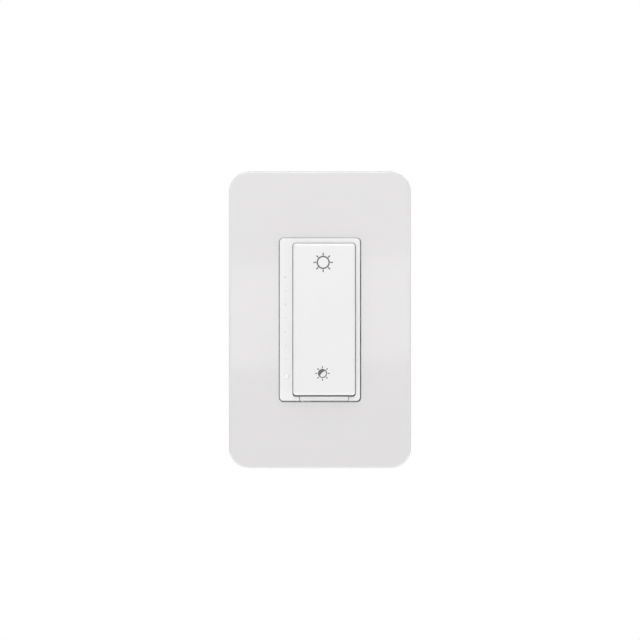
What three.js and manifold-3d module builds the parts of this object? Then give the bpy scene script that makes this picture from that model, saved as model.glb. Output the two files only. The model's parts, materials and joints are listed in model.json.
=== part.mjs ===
// A paddle dimmer for a standard rectangular wall-plate opening, with its screwless wall plate.
// Millimetres. +X is right and +Z up as a person faces the wall, and +Y goes into the wall.
// The origin is on the wall's surface at the middle of the plate opening.
import * as THREE from "three";
import { mergeVertices } from "three/addons/utils/BufferGeometryUtils.js";
import Module from "manifold-3d";

const wasm = await Module();
wasm.setup();

// ---- Driving dimensions -------------------------------------------------------------------

const TOUCH = 0.1; // air left between two pieces that rest on each other
const SOLDER = 0.05; // air left between a component and its board
const PAST = 1; // how far a cut runs on past the face that it opens
const ROUND = 16; // facets round a turned piece
const FEW = 8; // facets round a small turned piece
const BOTH = [-1, 1]; // both sides, or both ends

// Metal yoke, with the hole spacings of a standard wall box and wall plate
const yoke = {
  front: -1.5, back: -0.1, padBack: 0, width: 44.5, bodyHeight: 76, bodyCorner: 1.5,
  height: 105, earWidth: 27, earCorner: 3, earX: 14.6, earZ: 47.6, earRadius: 4.7, earHole: 1.5,
  boxScrewZ: 41.65, boxSlotWidth: 6.6, boxSlotHeight: 4, boxSlotCorner: 1.9,
  plateScrewZ: 48.4, plateHole: 1.85, plungerHole: 2.5, screwHole: 1.6,
};

// Clip-on cover of the wall plate
const cover = {
  width: 74.6, height: 122, corner: 8.5, crown: -7, edge: -6.2, wall: 1.7, round: 0.9,
  openingWidth: 33.6, openingHeight: 67.2, openingCorner: 1.8, collarWall: 1,
  lug: 0.35, lugZ: 38, lugLength: 10, lugFront: -3, lugBack: -0.8,
  notchWidth: 10, notchFront: -1.2,
};

// Sub-plate that screws to the yoke and carries the cover
const subPlate = {
  width: cover.width - 2 * (cover.wall + cover.lug + 0.3),
  height: cover.height - 2 * (cover.wall + 0.5),
  corner: 6.4, rim: 1.4, front: -3.1, back: yoke.front - TOUCH, rimBack: -0.3,
  openingWidth: 36, openingHeight: 69.6, openingCorner: 2,
  seatDeep: 0.8, seatRadius: 4.4, screwHole: 1.9,
  reliefRadius: 3.9, reliefWidth: 10, reliefHeight: 4.4,
  windowX: 26, windowZ: 36, windowWidth: 9, windowHeight: 12,
};

// Front frame that fills the plate opening, sitting a little up and to the left in it
const frame = {
  x: -0.1, z: 0.15, width: 33, height: 66.6, corner: 1.5, round: 0.4, front: -7.5,
  back: yoke.front - TOUCH, floorFront: -2.9, face: 1.6, pinRoom: 0.1, guideHole: 1.5,
  hookX: 14.6, hookZ: 25.9, hookHalf: 1.3, hookStem: 0.6, hookReach: 2.4, hookBack: 1.1,
};

// Rocking paddle, right of the light strip
const paddle = {
  x: 1.7, z: 0.3, width: 25.3, height: 62, corner: 1.1, crown: -9.7, ends: -9.3,
  bevel: 0.7, skirtBack: -4, wall: 1.2, top: 1.6, hollowCorner: 0.5,
  gap: 0.25, gapBelow: 0.6, pivotY: -5.4, pinRadius: 1.2, pinReach: 0.9,
  bossRadius: 1.2, ribX: 6, ribThick: 1, ribBack: -6.4,
};

// Spring-loaded plungers that the paddle pushes, above and below its pivot
const plunger = {
  offset: 17, headFront: -7.3, headThick: 1, headRadius: 2.5, headCrest: 2,
  stemRadius: 1.3, tip: 0.75,
};
const spring = { turns: 3.5, perTurn: 8, wire: 0.18, radius: 1.95, air: 0.06 };

// Push switches behind the plungers
const tact = {
  half: 3, front: 1.6, bore: 1.8, boreDeep: 1.5, buttonRadius: 1.5, buttonAir: 0.08,
  buttonBack: 2.6,
};

// Level lights down the left strip, and the round status light below them
const lights = {
  x: -14.3, count: 7, topZ: 17.5, pitch: 5.58, postRadius: 0.45, room: 0.1, barHalf: 0.85,
  barEnd: 1.5, back: 3.4, statusX: -13.65, statusZ: -23, statusRadius: 1.05,
  statusProud: 0.35, statusCrest: 0.55,
};
const ledStrip = {
  half: 1.4, low: -25, high: 19.5, thick: 0.7, ledProud: 0.6, ledSunk: 0.2, ledHalf: 0.4,
  ledHalfHeight: 0.8,
};

// Slot behind the light strip that the light pipe and the status lens stand in
const channel = { left: -15.5, right: -12.4, low: -24.4, high: 20.5 };

// Pull-out service tab under the paddle, and the contacts that it parts
const tab = {
  width: 20, low: -33, high: -31.3, front: -7.3, barBack: -3.6, notchRoom: 0.2, topRoom: 0.1,
  stemLeft: -3.3, stemRight: 6.7, stemLow: -32.9, stemHigh: -31.4, stemBack: 9.7,
};
const contact = {
  leftX: -3, rightX: 6.4, half: 1.5, thick: 0.8, low: -32.8, high: -31.5, bladeLow: -32.5,
  bladeHigh: -31.8, footHigh: -26.4, bridgeLeft: -4.6, bridgeRight: 8, bridgeThick: 1,
};

// Rear housing and its four long screws
const housing = {
  width: 44, height: 70, front: 0.3, back: 34, corner: 3, wall: 1.9,
  screwX: 18.6, screwZ: 31.6, postRadius: 3.3, postHole: 1.7, seatRadius: 2.9, seatDeep: 2.2,
  labelWidth: 25, labelHeight: 44, labelDeep: 0.3,
};

// Screw terminals in pockets down both sides of the housing
const terminal = {
  y: 14.5, z: 12, wallIn: 15, wallFront: 8.5, wallBack: 20.5, wallHalf: 6.4,
  pocketIn: 16.5, pocketFront: 10, pocketBack: 19, pocketHalf: 4.9, nutIn: 14, nutRadius: 2,
  plateFront: 16.7, plateThick: 1, plateHalf: 4.35, headFront: 19.1, headThick: 2,
  headRadius: 3.6, shankFront: 15.2, shankRadius: 1.75, slotHalf: 0.5, slotDeep: 0.8,
};

// Earth screw under a folded tab of the yoke
const earth = {
  x: -16, y: 5.5, tabHalf: 4.5, tabBack: 10, tabLow: -38.9, tabHigh: -37.4, hole: 1.9,
  headRadius: 3.8, headLow: -41.4, headHigh: -39, shankRadius: 1.7, shankHigh: -35.8,
  slotHalf: 0.5, slotDeep: 0.7,
};

// Loose screws, each with the size of its head and shank
const plateScrew = { headRadius: 3.5, headThick: 1.4, shankRadius: 1.65, length: 7 };
const boxScrew = { headRadius: 3.3, headThick: 1.9, shankRadius: 1.65, length: 27 };
const housingScrew = { headRadius: 2.6, headThick: 1.6, shankRadius: 1.4 };
const triacScrew = { headRadius: 2.7, headThick: 1.6, shankRadius: 1.4, length: 2.7 };
const retainer = { half: 4.5, halfHeight: 4, front: 0.05, thick: 0.8, hole: 1.9 };

// Circuit boards, given by their front faces, and the sheet that insulates them
const board = {
  thick: 1.6, corner: 1, halfWidth: 19, controlY: 5, controlHeight: 48, controlZ: -3,
  powerY: 21, powerHeight: 55, tongueHalf: 13, tongueLow: 20, tongueHigh: 31.5,
};
const sheet = { width: 39, height: 49, corner: 1.5, z: -3, front: 0.35, back: 0.7, hookRoom: 2 };

// Components on the boards
const radio = {
  left: -14.6, right: 1.4, low: -5, high: 18, thick: 0.8, margin: 0.8, shieldHigh: 11,
  shieldThick: 2.3,
};
const controller = { left: 4, low: -4, size: 7, thick: 1.15 };
const connector = { pins: 5, pitch: 2.54, z: -24, half: 6.6, halfHeight: 1.4, thick: 5.5, pin: 0.32 };
const choke = {
  x: -4.6, z: 8, outer: 7.4, inner: 4.4, front: 13.6, back: 18.8, turns: 10, perTurn: 8,
  share: 0.85, loopRadius: 5.9, loopHalf: 3.1, loopDeep: 4.2, wire: 0.35,
};
const transformer = {
  x: 6, z: -11, y: 14.6, half: 7, halfDeep: 5.6, halfHeight: 3, windowX: 3.6, windowHalf: 1.7,
  windowDeep: 3.6, coilHalf: 5, coilDeep: 3.4, coilHeight: 6.2, bore: 2.1, boreHeight: 3.2,
};
const filmCap = { left: 7.2, right: 13.2, front: 9.5, back: 20.4, low: 1, high: 16, legIn: 3 };
const canCap = { x: -7.5, z: -9, radius: 4, front: 8.6, back: 20.2, legX: 1.3, neck: 3.7 };
const varistor = { x: -11.5, z: -19, y: 14.4, radius: 4.8, half: 1.8, legX: 0.9, legZ: 2.5 };
const fuse = { x: -3, z: 23, y: 17.6, radius: 1.9, capRadius: 2.2, half: 5, capLength: 2 };
const triac = {
  z: 27.5, halfHeight: 5, front: 0.1, tabLeft: -8, tabRight: -1.8, tabThick: 1.3, screwX: -5.2,
  hole: 1.7,   bodyLeft: -1.7, bodyRight: 7.3, bodyBack: 4.6, legPitch: 2.54, legHalf: 0.35, legFront: 2.4,
  legRight: 10.6,
};
const LEG_RADIUS = 0.35;
const LEG_FACETS = 6;

// Places that follow from these
const powerFoot = board.powerY - SOLDER;
const controlFoot = board.controlY - SOLDER;
const controlRear = board.controlY + board.thick + SOLDER;

// ---- Materials ----------------------------------------------------------------------------

const look = (color, roughness, metalness = 0) =>
  new THREE.MeshStandardMaterial({ color, roughness, metalness });
const material = {
  glossWhite: look(0xe6e5e7, 0.12),
  satinWhite: look(0xefeeee, 0.35),
  plainWhite: look(0xe0dfdb, 0.5),
  clear: look(0xe9eef0, 0.1),
  yokeMetal: look(0xb9bcc0, 0.35, 1),
  steel: look(0xa9abae, 0.3, 1),
  brass: look(0xb98f4a, 0.3, 1),
  greenMetal: look(0x2f7a45, 0.4, 0.6),
  copper: look(0xb4683a, 0.35, 1),
  blackPlastic: look(0x1d1e20, 0.55),
  greyPlastic: look(0x5b5e62, 0.5),
  circuitBoard: look(0x1f5a37, 0.45),
  epoxy: look(0x17181a, 0.5),
  fibre: look(0x8c6a45, 0.8),
  ferrite: look(0x3a3c3f, 0.6),
  filmBox: look(0xc9a227, 0.45),
  blueDisc: look(0x1c4f9c, 0.4),
  sleeve: look(0x20242c, 0.35),
  sheet: look(0xd9d2b4, 0.6),
  ceramic: look(0xd6d2c6, 0.4),
};

// ---- Solids -------------------------------------------------------------------------------

const V3 = THREE.Vector3;
const basis = (x, y, z) =>
  new THREE.Matrix4().makeBasis(new V3(...x), new V3(...y), new V3(...z));
const FACE_TO_BACK = basis([1, 0, 0], [0, 0, 1], [0, -1, 0]); // drawn in XZ, extruded to -Y
const SIDE_TO_SIDE = basis([0, 1, 0], [0, 0, 1], [1, 0, 0]); // drawn in YZ, extruded to +X
const ROD_X = basis([0, 1, 0], [1, 0, 0], [0, 0, -1]);
const ROD_Z = FACE_TO_BACK;

// A closed three.js geometry as a solid that can be joined and cut.
function solid(geometry) {
  const bare = geometry.index ? geometry.toNonIndexed() : geometry.clone();
  const points = new THREE.BufferGeometry();
  points.setAttribute("position", bare.getAttribute("position"));
  const merged = mergeVertices(points, 1e-4);
  return new wasm.Manifold(
    new wasm.Mesh({
      numProp: 3,
      vertProperties: merged.attributes.position.array,
      triVerts: new Uint32Array(merged.index.array),
    }),
  );
}

function geometryOf(made) {
  const mesh = made.getMesh();
  const geometry = new THREE.BufferGeometry();
  const position = new THREE.BufferAttribute(Float32Array.from(mesh.vertProperties), 3);
  geometry.setAttribute("position", position);
  geometry.setIndex(new THREE.BufferAttribute(Uint32Array.from(mesh.triVerts), 1));
  geometry.computeVertexNormals();
  return geometry;
}

const join = (first, ...rest) => rest.reduce((all, one) => all.add(one), first);
const cut = (body, ...tools) => tools.reduce((left, tool) => left.subtract(tool), body);

// A block between two corners: [low, high] on each axis.
function block([x0, x1], [y0, y1], [z0, z1]) {
  const geometry = new THREE.BoxGeometry(x1 - x0, y1 - y0, z1 - z0);
  geometry.translate((x0 + x1) / 2, (y0 + y1) / 2, (z0 + z1) / 2);
  return solid(geometry);
}

const about = (middle, half) => [middle - half, middle + half];

// A stretch from near to far on one side of the middle.
const onSide = (side, near, far) => (side > 0 ? [near, far] : [-far, -near]);

// Turned rods along each axis, from one end to the other, centred on the other two axes.
function rodY(radius, y0, y1, x = 0, z = 0, facets = ROUND, frontRadius = radius) {
  const geometry = new THREE.CylinderGeometry(radius, frontRadius, y1 - y0, facets);
  return solid(geometry.translate(x, (y0 + y1) / 2, z));
}

function rodX(radius, x0, x1, y = 0, z = 0, facets = ROUND) {
  const geometry = new THREE.CylinderGeometry(radius, radius, x1 - x0, facets);
  return solid(geometry.applyMatrix4(ROD_X).translate((x0 + x1) / 2, y, z));
}

function rodZ(radius, z0, z1, x = 0, y = 0, facets = ROUND) {
  const geometry = new THREE.CylinderGeometry(radius, radius, z1 - z0, facets);
  return solid(geometry.applyMatrix4(ROD_Z).translate(x, y, (z0 + z1) / 2));
}

// A rounded rectangle in the XZ plane.
function roundedShape(width, height, radius, x = 0, z = 0) {
  const [left, right] = about(x, width / 2);
  const [low, high] = about(z, height / 2);
  const shape = new THREE.Shape();
  shape.moveTo(left + radius, low);
  shape.lineTo(right - radius, low);
  shape.absarc(right - radius, low + radius, radius, -Math.PI / 2, 0);
  shape.lineTo(right, high - radius);
  shape.absarc(right - radius, high - radius, radius, 0, Math.PI / 2);
  shape.lineTo(left + radius, high);
  shape.absarc(left + radius, high - radius, radius, Math.PI / 2, Math.PI);
  shape.lineTo(left, low + radius);
  shape.absarc(left + radius, low + radius, radius, Math.PI, Math.PI * 1.5);
  return shape;
}

// A shape drawn in XZ, from its front face to its back face.
function slab(shape, front, back, curveSegments = 2) {
  const geometry = new THREE.ExtrudeGeometry(shape, {
    depth: back - front, bevelEnabled: false, curveSegments,
  });
  return solid(geometry.applyMatrix4(FACE_TO_BACK).translate(0, back, 0));
}

// The same, with its front edge rounded off.
function softSlab(shape, front, back, round, curveSegments = 3, bevelSegments = 2) {
  const geometry = new THREE.ExtrudeGeometry(shape, {
    depth: back - front, bevelEnabled: true, bevelSize: round, bevelOffset: -round,
    bevelThickness: round, bevelSegments, curveSegments,
  });
  geometry.applyMatrix4(FACE_TO_BACK).translate(0, back + round, 0);
  const everything = [-cover.height, cover.height];
  return solid(geometry).intersect(block(everything, [front - PAST, back], everything));
}

// Everything behind a face that bulges in the middle of its height and runs along X.
function behindCrown(crown, ends, height, middleZ, back, halfWidth) {
  const steps = 6;
  const shape = new THREE.Shape();
  shape.moveTo(back, middleZ - height / 2);
  for (let i = 0; i <= steps; i += 1) {
    const across = (2 * i) / steps - 1;
    shape.lineTo(crown + (ends - crown) * across ** 2, middleZ + (across * height) / 2);
  }
  shape.lineTo(back, middleZ + height / 2);
  const geometry = new THREE.ExtrudeGeometry(shape, {
    depth: 2 * halfWidth, bevelEnabled: false,
  });
  return solid(geometry.applyMatrix4(SIDE_TO_SIDE).translate(-halfWidth, 0, 0));
}

// Wire of six-sided section along a list of points.
function wire(points, radius, steps) {
  const section = new THREE.Shape();
  section.absarc(0, 0, radius, 0, Math.PI * 2);
  const geometry = new THREE.ExtrudeGeometry(section, {
    steps, curveSegments: 3, extrudePath: new THREE.CatmullRomCurve3(points),
  });
  return solid(geometry);
}

// ---- Scene graph --------------------------------------------------------------------------

const part = new THREE.Group();
part.name = "paddle_dimmer";

function group(name, parent = part) {
  const made = new THREE.Group();
  made.name = name;
  parent.add(made);
  return made;
}

function place(parent, name, made, finish, position = [0, 0, 0], rotation = [0, 0, 0]) {
  const mesh = new THREE.Mesh(geometryOf(made), finish);
  mesh.name = name;
  mesh.position.set(...position);
  mesh.rotation.set(...rotation);
  parent.add(mesh);
}

// ---- Fasteners ----------------------------------------------------------------------------

// A slotted machine screw along Y: the underside of its head is at 0, and its head is in front.
function machineScrew({ headRadius, headThick, shankRadius, length }) {
  const crest = headRadius * 0.8;
  const slotDeep = headThick * 0.45;
  const slotHalf = 0.45;
  const head = rodY(headRadius, -headThick, 0, 0, 0, ROUND, crest);
  const shank = rodY(shankRadius, -headThick / 2, length, 0, 0, FEW);
  const slot = block(about(0, headRadius), [-headThick - PAST, slotDeep - headThick],
    about(0, slotHalf));
  return cut(join(head, shank), slot);
}

// ---- Wall plate ---------------------------------------------------------------------------

function makeCover() {
  const { width, height, corner, crown, edge, wall, collarWall } = cover;
  const face = behindCrown(crown, edge, height, 0, 0, width);
  const outside = softSlab(roundedShape(width, height, corner), crown, 0, cover.round);
  const inside = roundedShape(width - 2 * wall, height - 2 * wall, corner - wall);
  const hollow = slab(inside, crown + wall, PAST, 3).intersect(
    behindCrown(crown + wall, edge + wall, height, 0, PAST, width),
  );
  const collarShape = roundedShape(cover.openingWidth + 2 * collarWall,
    cover.openingHeight + 2 * collarWall, cover.openingCorner + collarWall);
  const collar = slab(collarShape, crown + wall / 2, subPlate.front - 3 * TOUCH);
  const opening = slab(
    roundedShape(cover.openingWidth, cover.openingHeight, cover.openingCorner),
    crown - PAST, PAST,
  );
  const lugs = [];
  for (const side of BOTH) {
    for (const end of BOTH) {
      const inner = width / 2 - wall - cover.lug;
      lugs.push(block(onSide(side, inner, inner + 1), [cover.lugFront, cover.lugBack],
        about(end * cover.lugZ, cover.lugLength / 2)));
    }
  }
  const notch = block(about(0, cover.notchWidth / 2), [cover.notchFront, PAST],
    [-height / 2 - PAST, 2 * wall - height / 2]);
  const open = cut(outside.intersect(face), hollow);
  return cut(join(open, collar, ...lugs), opening, notch);
}

function makeSubPlate() {
  const { width, height, corner, rim, front, back, seatDeep } = subPlate;
  const inside = roundedShape(width - 2 * rim, height - 2 * rim, corner - rim);
  const opening = roundedShape(subPlate.openingWidth, subPlate.openingHeight,
    subPlate.openingCorner);
  const through = [front - PAST, PAST];
  const cuts = [slab(inside, back, PAST), slab(opening, ...through)];
  for (const end of BOTH) {
    const screwZ = end * yoke.plateScrewZ;
    const boxZ = end * yoke.boxScrewZ;
    cuts.push(rodY(subPlate.seatRadius, front - PAST, back - seatDeep, 0, screwZ));
    cuts.push(rodY(subPlate.screwHole, ...through, 0, screwZ));
    cuts.push(rodY(subPlate.reliefRadius, ...through, 0, boxZ));
    cuts.push(block(about(0, subPlate.reliefWidth / 2), through,
      about(boxZ, subPlate.reliefHeight / 2)));
    for (const side of BOTH) {
      const window = roundedShape(subPlate.windowWidth, subPlate.windowHeight,
        subPlate.openingCorner, side * subPlate.windowX, end * subPlate.windowZ);
      cuts.push(slab(window, ...through));
    }
  }
  return cut(slab(roundedShape(width, height, corner), front, subPlate.rimBack), ...cuts);
}

// ---- Front of the device ------------------------------------------------------------------

// Heights of the level lights, from the top down.
const levelPlaces = () =>
  Array.from({ length: lights.count }, (_, i) => lights.topZ - i * lights.pitch);

// Heights of the two plungers.
const plungerPlaces = () => BOTH.map((end) => paddle.z + end * plunger.offset);

function makeFrame() {
  const { front, back, floorFront, hookX, hookZ } = frame;
  const outline = roundedShape(frame.width, frame.height, frame.corner, frame.x, frame.z);
  const body = softSlab(outline, front, back, frame.round, 2, 1);
  const wellWidth = paddle.width + 2 * paddle.gap;
  const wellHeight = paddle.height + paddle.gap + paddle.gapBelow;
  const wellZ = paddle.z + (paddle.gap - paddle.gapBelow) / 2;
  const wellShape = roundedShape(wellWidth, wellHeight, paddle.corner + paddle.gap, paddle.x,
    wellZ);
  const cuts = [slab(wellShape, front - PAST, floorFront)];
  // Channel behind the light strip, and the small windows through its face.
  cuts.push(block([channel.left, channel.right], [front + frame.face, back + PAST],
    [channel.low, channel.high]));
  for (const z of levelPlaces()) {
    cuts.push(rodY(lights.postRadius + lights.room, front - PAST, back, lights.x, z, FEW));
  }
  cuts.push(rodY(lights.statusRadius + lights.room, front - PAST, back, lights.statusX,
    lights.statusZ));
  // Blind bearings for the paddle's two pins.
  const bearing = wellWidth / 2 + 1;
  cuts.push(rodX(paddle.pinRadius + frame.pinRoom, ...about(paddle.x, bearing), paddle.pivotY,
    paddle.z));
  // Notch for the service tab's bar, and the slot for its stem.
  const below = -frame.height / 2 - PAST;
  cuts.push(block(about(paddle.x, tab.width / 2 + tab.notchRoom), [front - PAST, floorFront],
    [below, tab.high + tab.topRoom]));
  cuts.push(block([tab.stemLeft - tab.notchRoom, tab.stemRight + tab.notchRoom],
    [floorFront - PAST, back + PAST], [below, tab.stemHigh + tab.notchRoom]));
  // Guides for the two return plungers.
  for (const z of plungerPlaces()) {
    cuts.push(rodY(frame.guideHole, floorFront - PAST, back + PAST, paddle.x, z));
  }
  // Barbed hooks that hold the frame in the yoke's windows.
  const hooks = [];
  for (const side of BOTH) {
    for (const end of BOTH) {
      const z = about(end * hookZ, frame.hookHalf);
      const barb = onSide(side, hookX + frame.hookReach - 2.2, hookX + frame.hookReach);
      hooks.push(block(about(side * hookX, frame.hookStem), [back - 0.5, frame.hookBack], z));
      hooks.push(block(barb, [yoke.back + 2 * TOUCH, frame.hookBack], z));
    }
  }
  return join(cut(body, ...cuts), ...hooks);
}

function makePaddle() {
  const { x, z, width, height, corner, wall, skirtBack, crown, ends, top } = paddle;
  const ceiling = crown + top;
  const face = behindCrown(crown, ends, height, z, skirtBack, width);
  const outside = softSlab(roundedShape(width, height, corner, x, z), crown, skirtBack,
    paddle.bevel, 2, 2);
  const hollow = slab(
    roundedShape(width - 2 * wall, height - 2 * wall, paddle.hollowCorner, x, z),
    ceiling, skirtBack + PAST,
  );
  const added = [];
  for (const side of BOTH) {
    const [near, far] = onSide(side, width / 2 - wall / 2, width / 2 + paddle.pinReach);
    added.push(rodX(paddle.pinRadius, x + near, x + far, paddle.pivotY, z));
    added.push(block(about(x + side * paddle.ribX, paddle.ribThick / 2),
      [ceiling - 3 * TOUCH, paddle.ribBack], about(z, height / 2 - wall - 4 * TOUCH)));
  }
  for (const bossZ of plungerPlaces()) {
    added.push(rodY(paddle.bossRadius, ceiling - 3 * TOUCH, plunger.headFront - TOUCH, x, bossZ,
      FEW));
  }
  return join(cut(outside.intersect(face), hollow), ...added);
}

function makeLightPipe() {
  const { x, barHalf, barEnd, topZ, postRadius } = lights;
  const face = frame.front + frame.face;
  const places = levelPlaces();
  const bar = block(about(x, barHalf), [face + TOUCH, lights.back],
    [places.at(-1) - barEnd, topZ + barEnd]);
  const posts = places.map((z) => rodY(postRadius, frame.front, face + 1, x, z, FEW));
  return join(bar, ...posts);
}

function makeStatusLens() {
  const { statusX, statusZ, statusRadius, statusCrest } = lights;
  const tip = frame.front - lights.statusProud;
  const stem = rodY(statusRadius, frame.front, lights.back, statusX, statusZ);
  const dome = rodY(statusRadius, tip, frame.front + TOUCH / 10, statusX, statusZ, ROUND,
    statusCrest);
  return join(stem, dome);
}

function makeTab() {
  const bar = block(about(paddle.x, tab.width / 2), [tab.front, tab.barBack],
    [tab.low, tab.high]);
  const stem = block([tab.stemLeft, tab.stemRight], [tab.barBack - 1, tab.stemBack],
    [tab.stemLow, tab.stemHigh]);
  return join(bar, stem);
}

// ---- Yoke ---------------------------------------------------------------------------------

function makeYoke() {
  const { front, back, earX, earZ } = yoke;
  const through = [front - PAST, back + PAST];
  const body = slab(roundedShape(yoke.width, yoke.bodyHeight, yoke.bodyCorner), front, back);
  const strap = slab(roundedShape(yoke.earWidth, yoke.height, yoke.earCorner), front, back);
  const earthTab = block(about(earth.x, earth.tabHalf), [front, earth.tabBack],
    [earth.tabLow, earth.tabHigh]);
  const solids = [strap, earthTab];
  const cuts = [];
  for (const end of BOTH) {
    for (const side of BOTH) {
      solids.push(rodY(yoke.earRadius, front, yoke.padBack, side * earX, end * earZ));
      cuts.push(rodY(yoke.earHole, ...through, side * earX, end * earZ, FEW));
      cuts.push(rodY(yoke.screwHole, ...through, side * housing.screwX, end * housing.screwZ,
        FEW));
      cuts.push(block(about(side * frame.hookX, frame.hookStem + 3 * TOUCH), through,
        about(end * frame.hookZ, frame.hookHalf + 3 * TOUCH)));
    }
    const boxSlot = roundedShape(yoke.boxSlotWidth, yoke.boxSlotHeight, yoke.boxSlotCorner, 0,
      end * yoke.boxScrewZ);
    cuts.push(slab(boxSlot, ...through));
    cuts.push(rodY(yoke.plateHole, ...through, 0, end * yoke.plateScrewZ));
  }
  for (const z of plungerPlaces()) {
    cuts.push(rodY(yoke.plungerHole, ...through, paddle.x, z));
  }
  cuts.push(block([channel.left, channel.right], through, [channel.low, channel.high]));
  const stemRoom = 2 * tab.notchRoom;
  cuts.push(block([tab.stemLeft - stemRoom, tab.stemRight + stemRoom], through,
    [tab.stemLow - 3 * TOUCH, tab.stemHigh + 3 * TOUCH]));
  cuts.push(rodY(yoke.screwHole, ...through, triac.screwX, triac.z, FEW));
  cuts.push(rodZ(earth.hole, earth.tabLow - PAST, earth.tabHigh + PAST, earth.x, earth.y));
  return cut(join(body, ...solids), ...cuts);
}

// ---- Return plungers and push switches ----------------------------------------------------

// A plunger along Y, its head touching the paddle's boss.
function makePlunger() {
  const { headFront, headThick, headRadius, headCrest, stemRadius, tip } = plunger;
  const headBack = headFront + headThick;
  const head = rodY(headRadius, headFront, headBack, 0, 0, ROUND, headCrest);
  return join(head, rodY(stemRadius, headBack - headThick / 2, tip, 0, 0, FEW));
}

function makeReturnSpring() {
  const steps = spring.turns * spring.perTurn;
  const start = plunger.headFront + plunger.headThick + spring.wire + spring.air;
  const end = frame.floorFront - spring.air - spring.wire;
  const points = [];
  for (let i = 0; i <= steps; i += 1) {
    const angle = (i / spring.perTurn) * Math.PI * 2;
    const y = start + ((end - start) * i) / steps;
    points.push(new V3(spring.radius * Math.cos(angle), y, spring.radius * Math.sin(angle)));
  }
  return wire(points, spring.wire, steps);
}

function makeTactSwitch() {
  const { half, front, bore, boreDeep } = tact;
  const body = block(about(0, half), [front, controlFoot], about(0, half));
  return cut(body, rodY(bore, front - PAST, front + boreDeep, 0, 0, FEW));
}

function makeTactButton() {
  return rodY(tact.buttonRadius, plunger.tip + tact.buttonAir, tact.buttonBack, 0, 0, FEW);
}

// ---- Electronics --------------------------------------------------------------------------

function makeControlBoard() {
  const shape = roundedShape(2 * board.halfWidth, board.controlHeight, board.corner, 0,
    board.controlZ);
  return slab(shape, board.controlY, board.controlY + board.thick);
}

function makePowerBoard() {
  const { powerY, thick, halfWidth } = board;
  const main = slab(roundedShape(2 * halfWidth, board.powerHeight, board.corner), powerY,
    powerY + thick);
  const tongue = block(about(0, board.tongueHalf), [powerY, powerY + thick],
    [board.tongueLow, board.tongueHigh]);
  return join(main, tongue);
}

function makeInsulatingSheet() {
  const through = [sheet.front - PAST, sheet.back + PAST];
  const flat = slab(roundedShape(sheet.width, sheet.height, sheet.corner, 0, sheet.z),
    sheet.front, sheet.back);
  const cuts = [block([channel.left, channel.right], through, [channel.low, channel.high])];
  for (const z of plungerPlaces()) {
    cuts.push(rodY(yoke.plungerHole, ...through, paddle.x, z));
  }
  for (const side of BOTH) {
    cuts.push(block(about(side * (frame.hookX + 1), sheet.hookRoom), through,
      about(-frame.hookZ, frame.hookHalf + 3 * TOUCH)));
  }
  return cut(flat, ...cuts);
}

function makeLedStrip() {
  const stripFront = controlFoot - ledStrip.thick;
  const led = [stripFront - ledStrip.ledProud, stripFront + ledStrip.ledSunk];
  const strip = block(about(lights.x, ledStrip.half), [stripFront, controlFoot],
    [ledStrip.low, ledStrip.high]);
  const leds = levelPlaces().map((z) =>
    block(about(lights.x, ledStrip.ledHalf), led, about(z, ledStrip.ledHalfHeight)));
  const status = block(about(lights.statusX, ledStrip.ledHalf), led,
    about(lights.statusZ, ledStrip.ledHalfHeight));
  return join(strip, ...leds, status);
}

function makeRadioBoard() {
  return block([radio.left, radio.right], [controlRear, controlRear + radio.thick],
    [radio.low, radio.high]);
}

function makeRadioShield() {
  const front = controlRear + radio.thick + SOLDER;
  return block([radio.left + radio.margin, radio.right - radio.margin],
    [front, front + radio.shieldThick], [radio.low + radio.margin, radio.shieldHigh]);
}

function makeController() {
  const { left, low, size, thick } = controller;
  return block([left, left + size], [controlRear, controlRear + thick], [low, low + size]);
}

function makeConnector() {
  const { pins, pitch, z, half, halfHeight, thick, pin } = connector;
  const front = powerFoot - thick;
  const solids = [block(about(0, half), [front, powerFoot], about(z, halfHeight))];
  for (let i = 0; i < pins; i += 1) {
    const x = (i - (pins - 1) / 2) * pitch;
    solids.push(block(about(x, pin), [controlRear, front + 0.5], about(z, pin)));
  }
  return join(...solids);
}

// Toroidal choke lying on the power board, turned about Y.
function makeChokeCore() {
  const { outer, inner, front, back } = choke;
  return cut(rodY(outer, front, back), rodY(inner, front - PAST, back + PAST));
}

function makeChokeWinding() {
  const steps = choke.turns * choke.perTurn;
  const middle = (choke.front + choke.back) / 2;
  const points = [];
  for (let i = 0; i <= steps; i += 1) {
    const round = (i / choke.perTurn) * Math.PI * 2;
    const along = (choke.share * Math.PI * 2 * i) / steps;
    const radius = choke.loopRadius + choke.loopHalf * Math.cos(round);
    const y = middle + choke.loopDeep * Math.sin(round);
    points.push(new V3(radius * Math.cos(along), y, radius * Math.sin(along)));
  }
  return wire(points, choke.wire, steps);
}

function makeTransformerCore() {
  const { y, half, halfDeep, halfHeight, windowX, windowHalf, windowDeep } = transformer;
  const core = block(about(0, half), about(y, halfDeep), about(0, halfHeight));
  const windows = BOTH.map((side) =>
    block(about(side * windowX, windowHalf), about(y, windowDeep),
      about(0, halfHeight + PAST)));
  return cut(core, ...windows);
}

function makeTransformerWinding() {
  const { y, coilHalf, coilDeep, coilHeight, bore, boreHeight } = transformer;
  const coil = block(about(0, coilHalf), about(y, coilDeep), about(0, coilHeight));
  return cut(coil, block(about(0, bore), about(y, coilDeep + PAST), about(0, boreHeight)));
}

function legsToBoard(places, from) {
  return places.map(([x, z]) => rodY(LEG_RADIUS, from, powerFoot, x, z, LEG_FACETS));
}

function makeFilmCapacitor() {
  const { left, right, front, back, low, high, legIn } = filmCap;
  const middle = (left + right) / 2;
  const legs = legsToBoard([[middle, low + legIn], [middle, high - legIn]], back - 0.4);
  return join(block([left, right], [front, back], [low, high]), ...legs);
}

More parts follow.
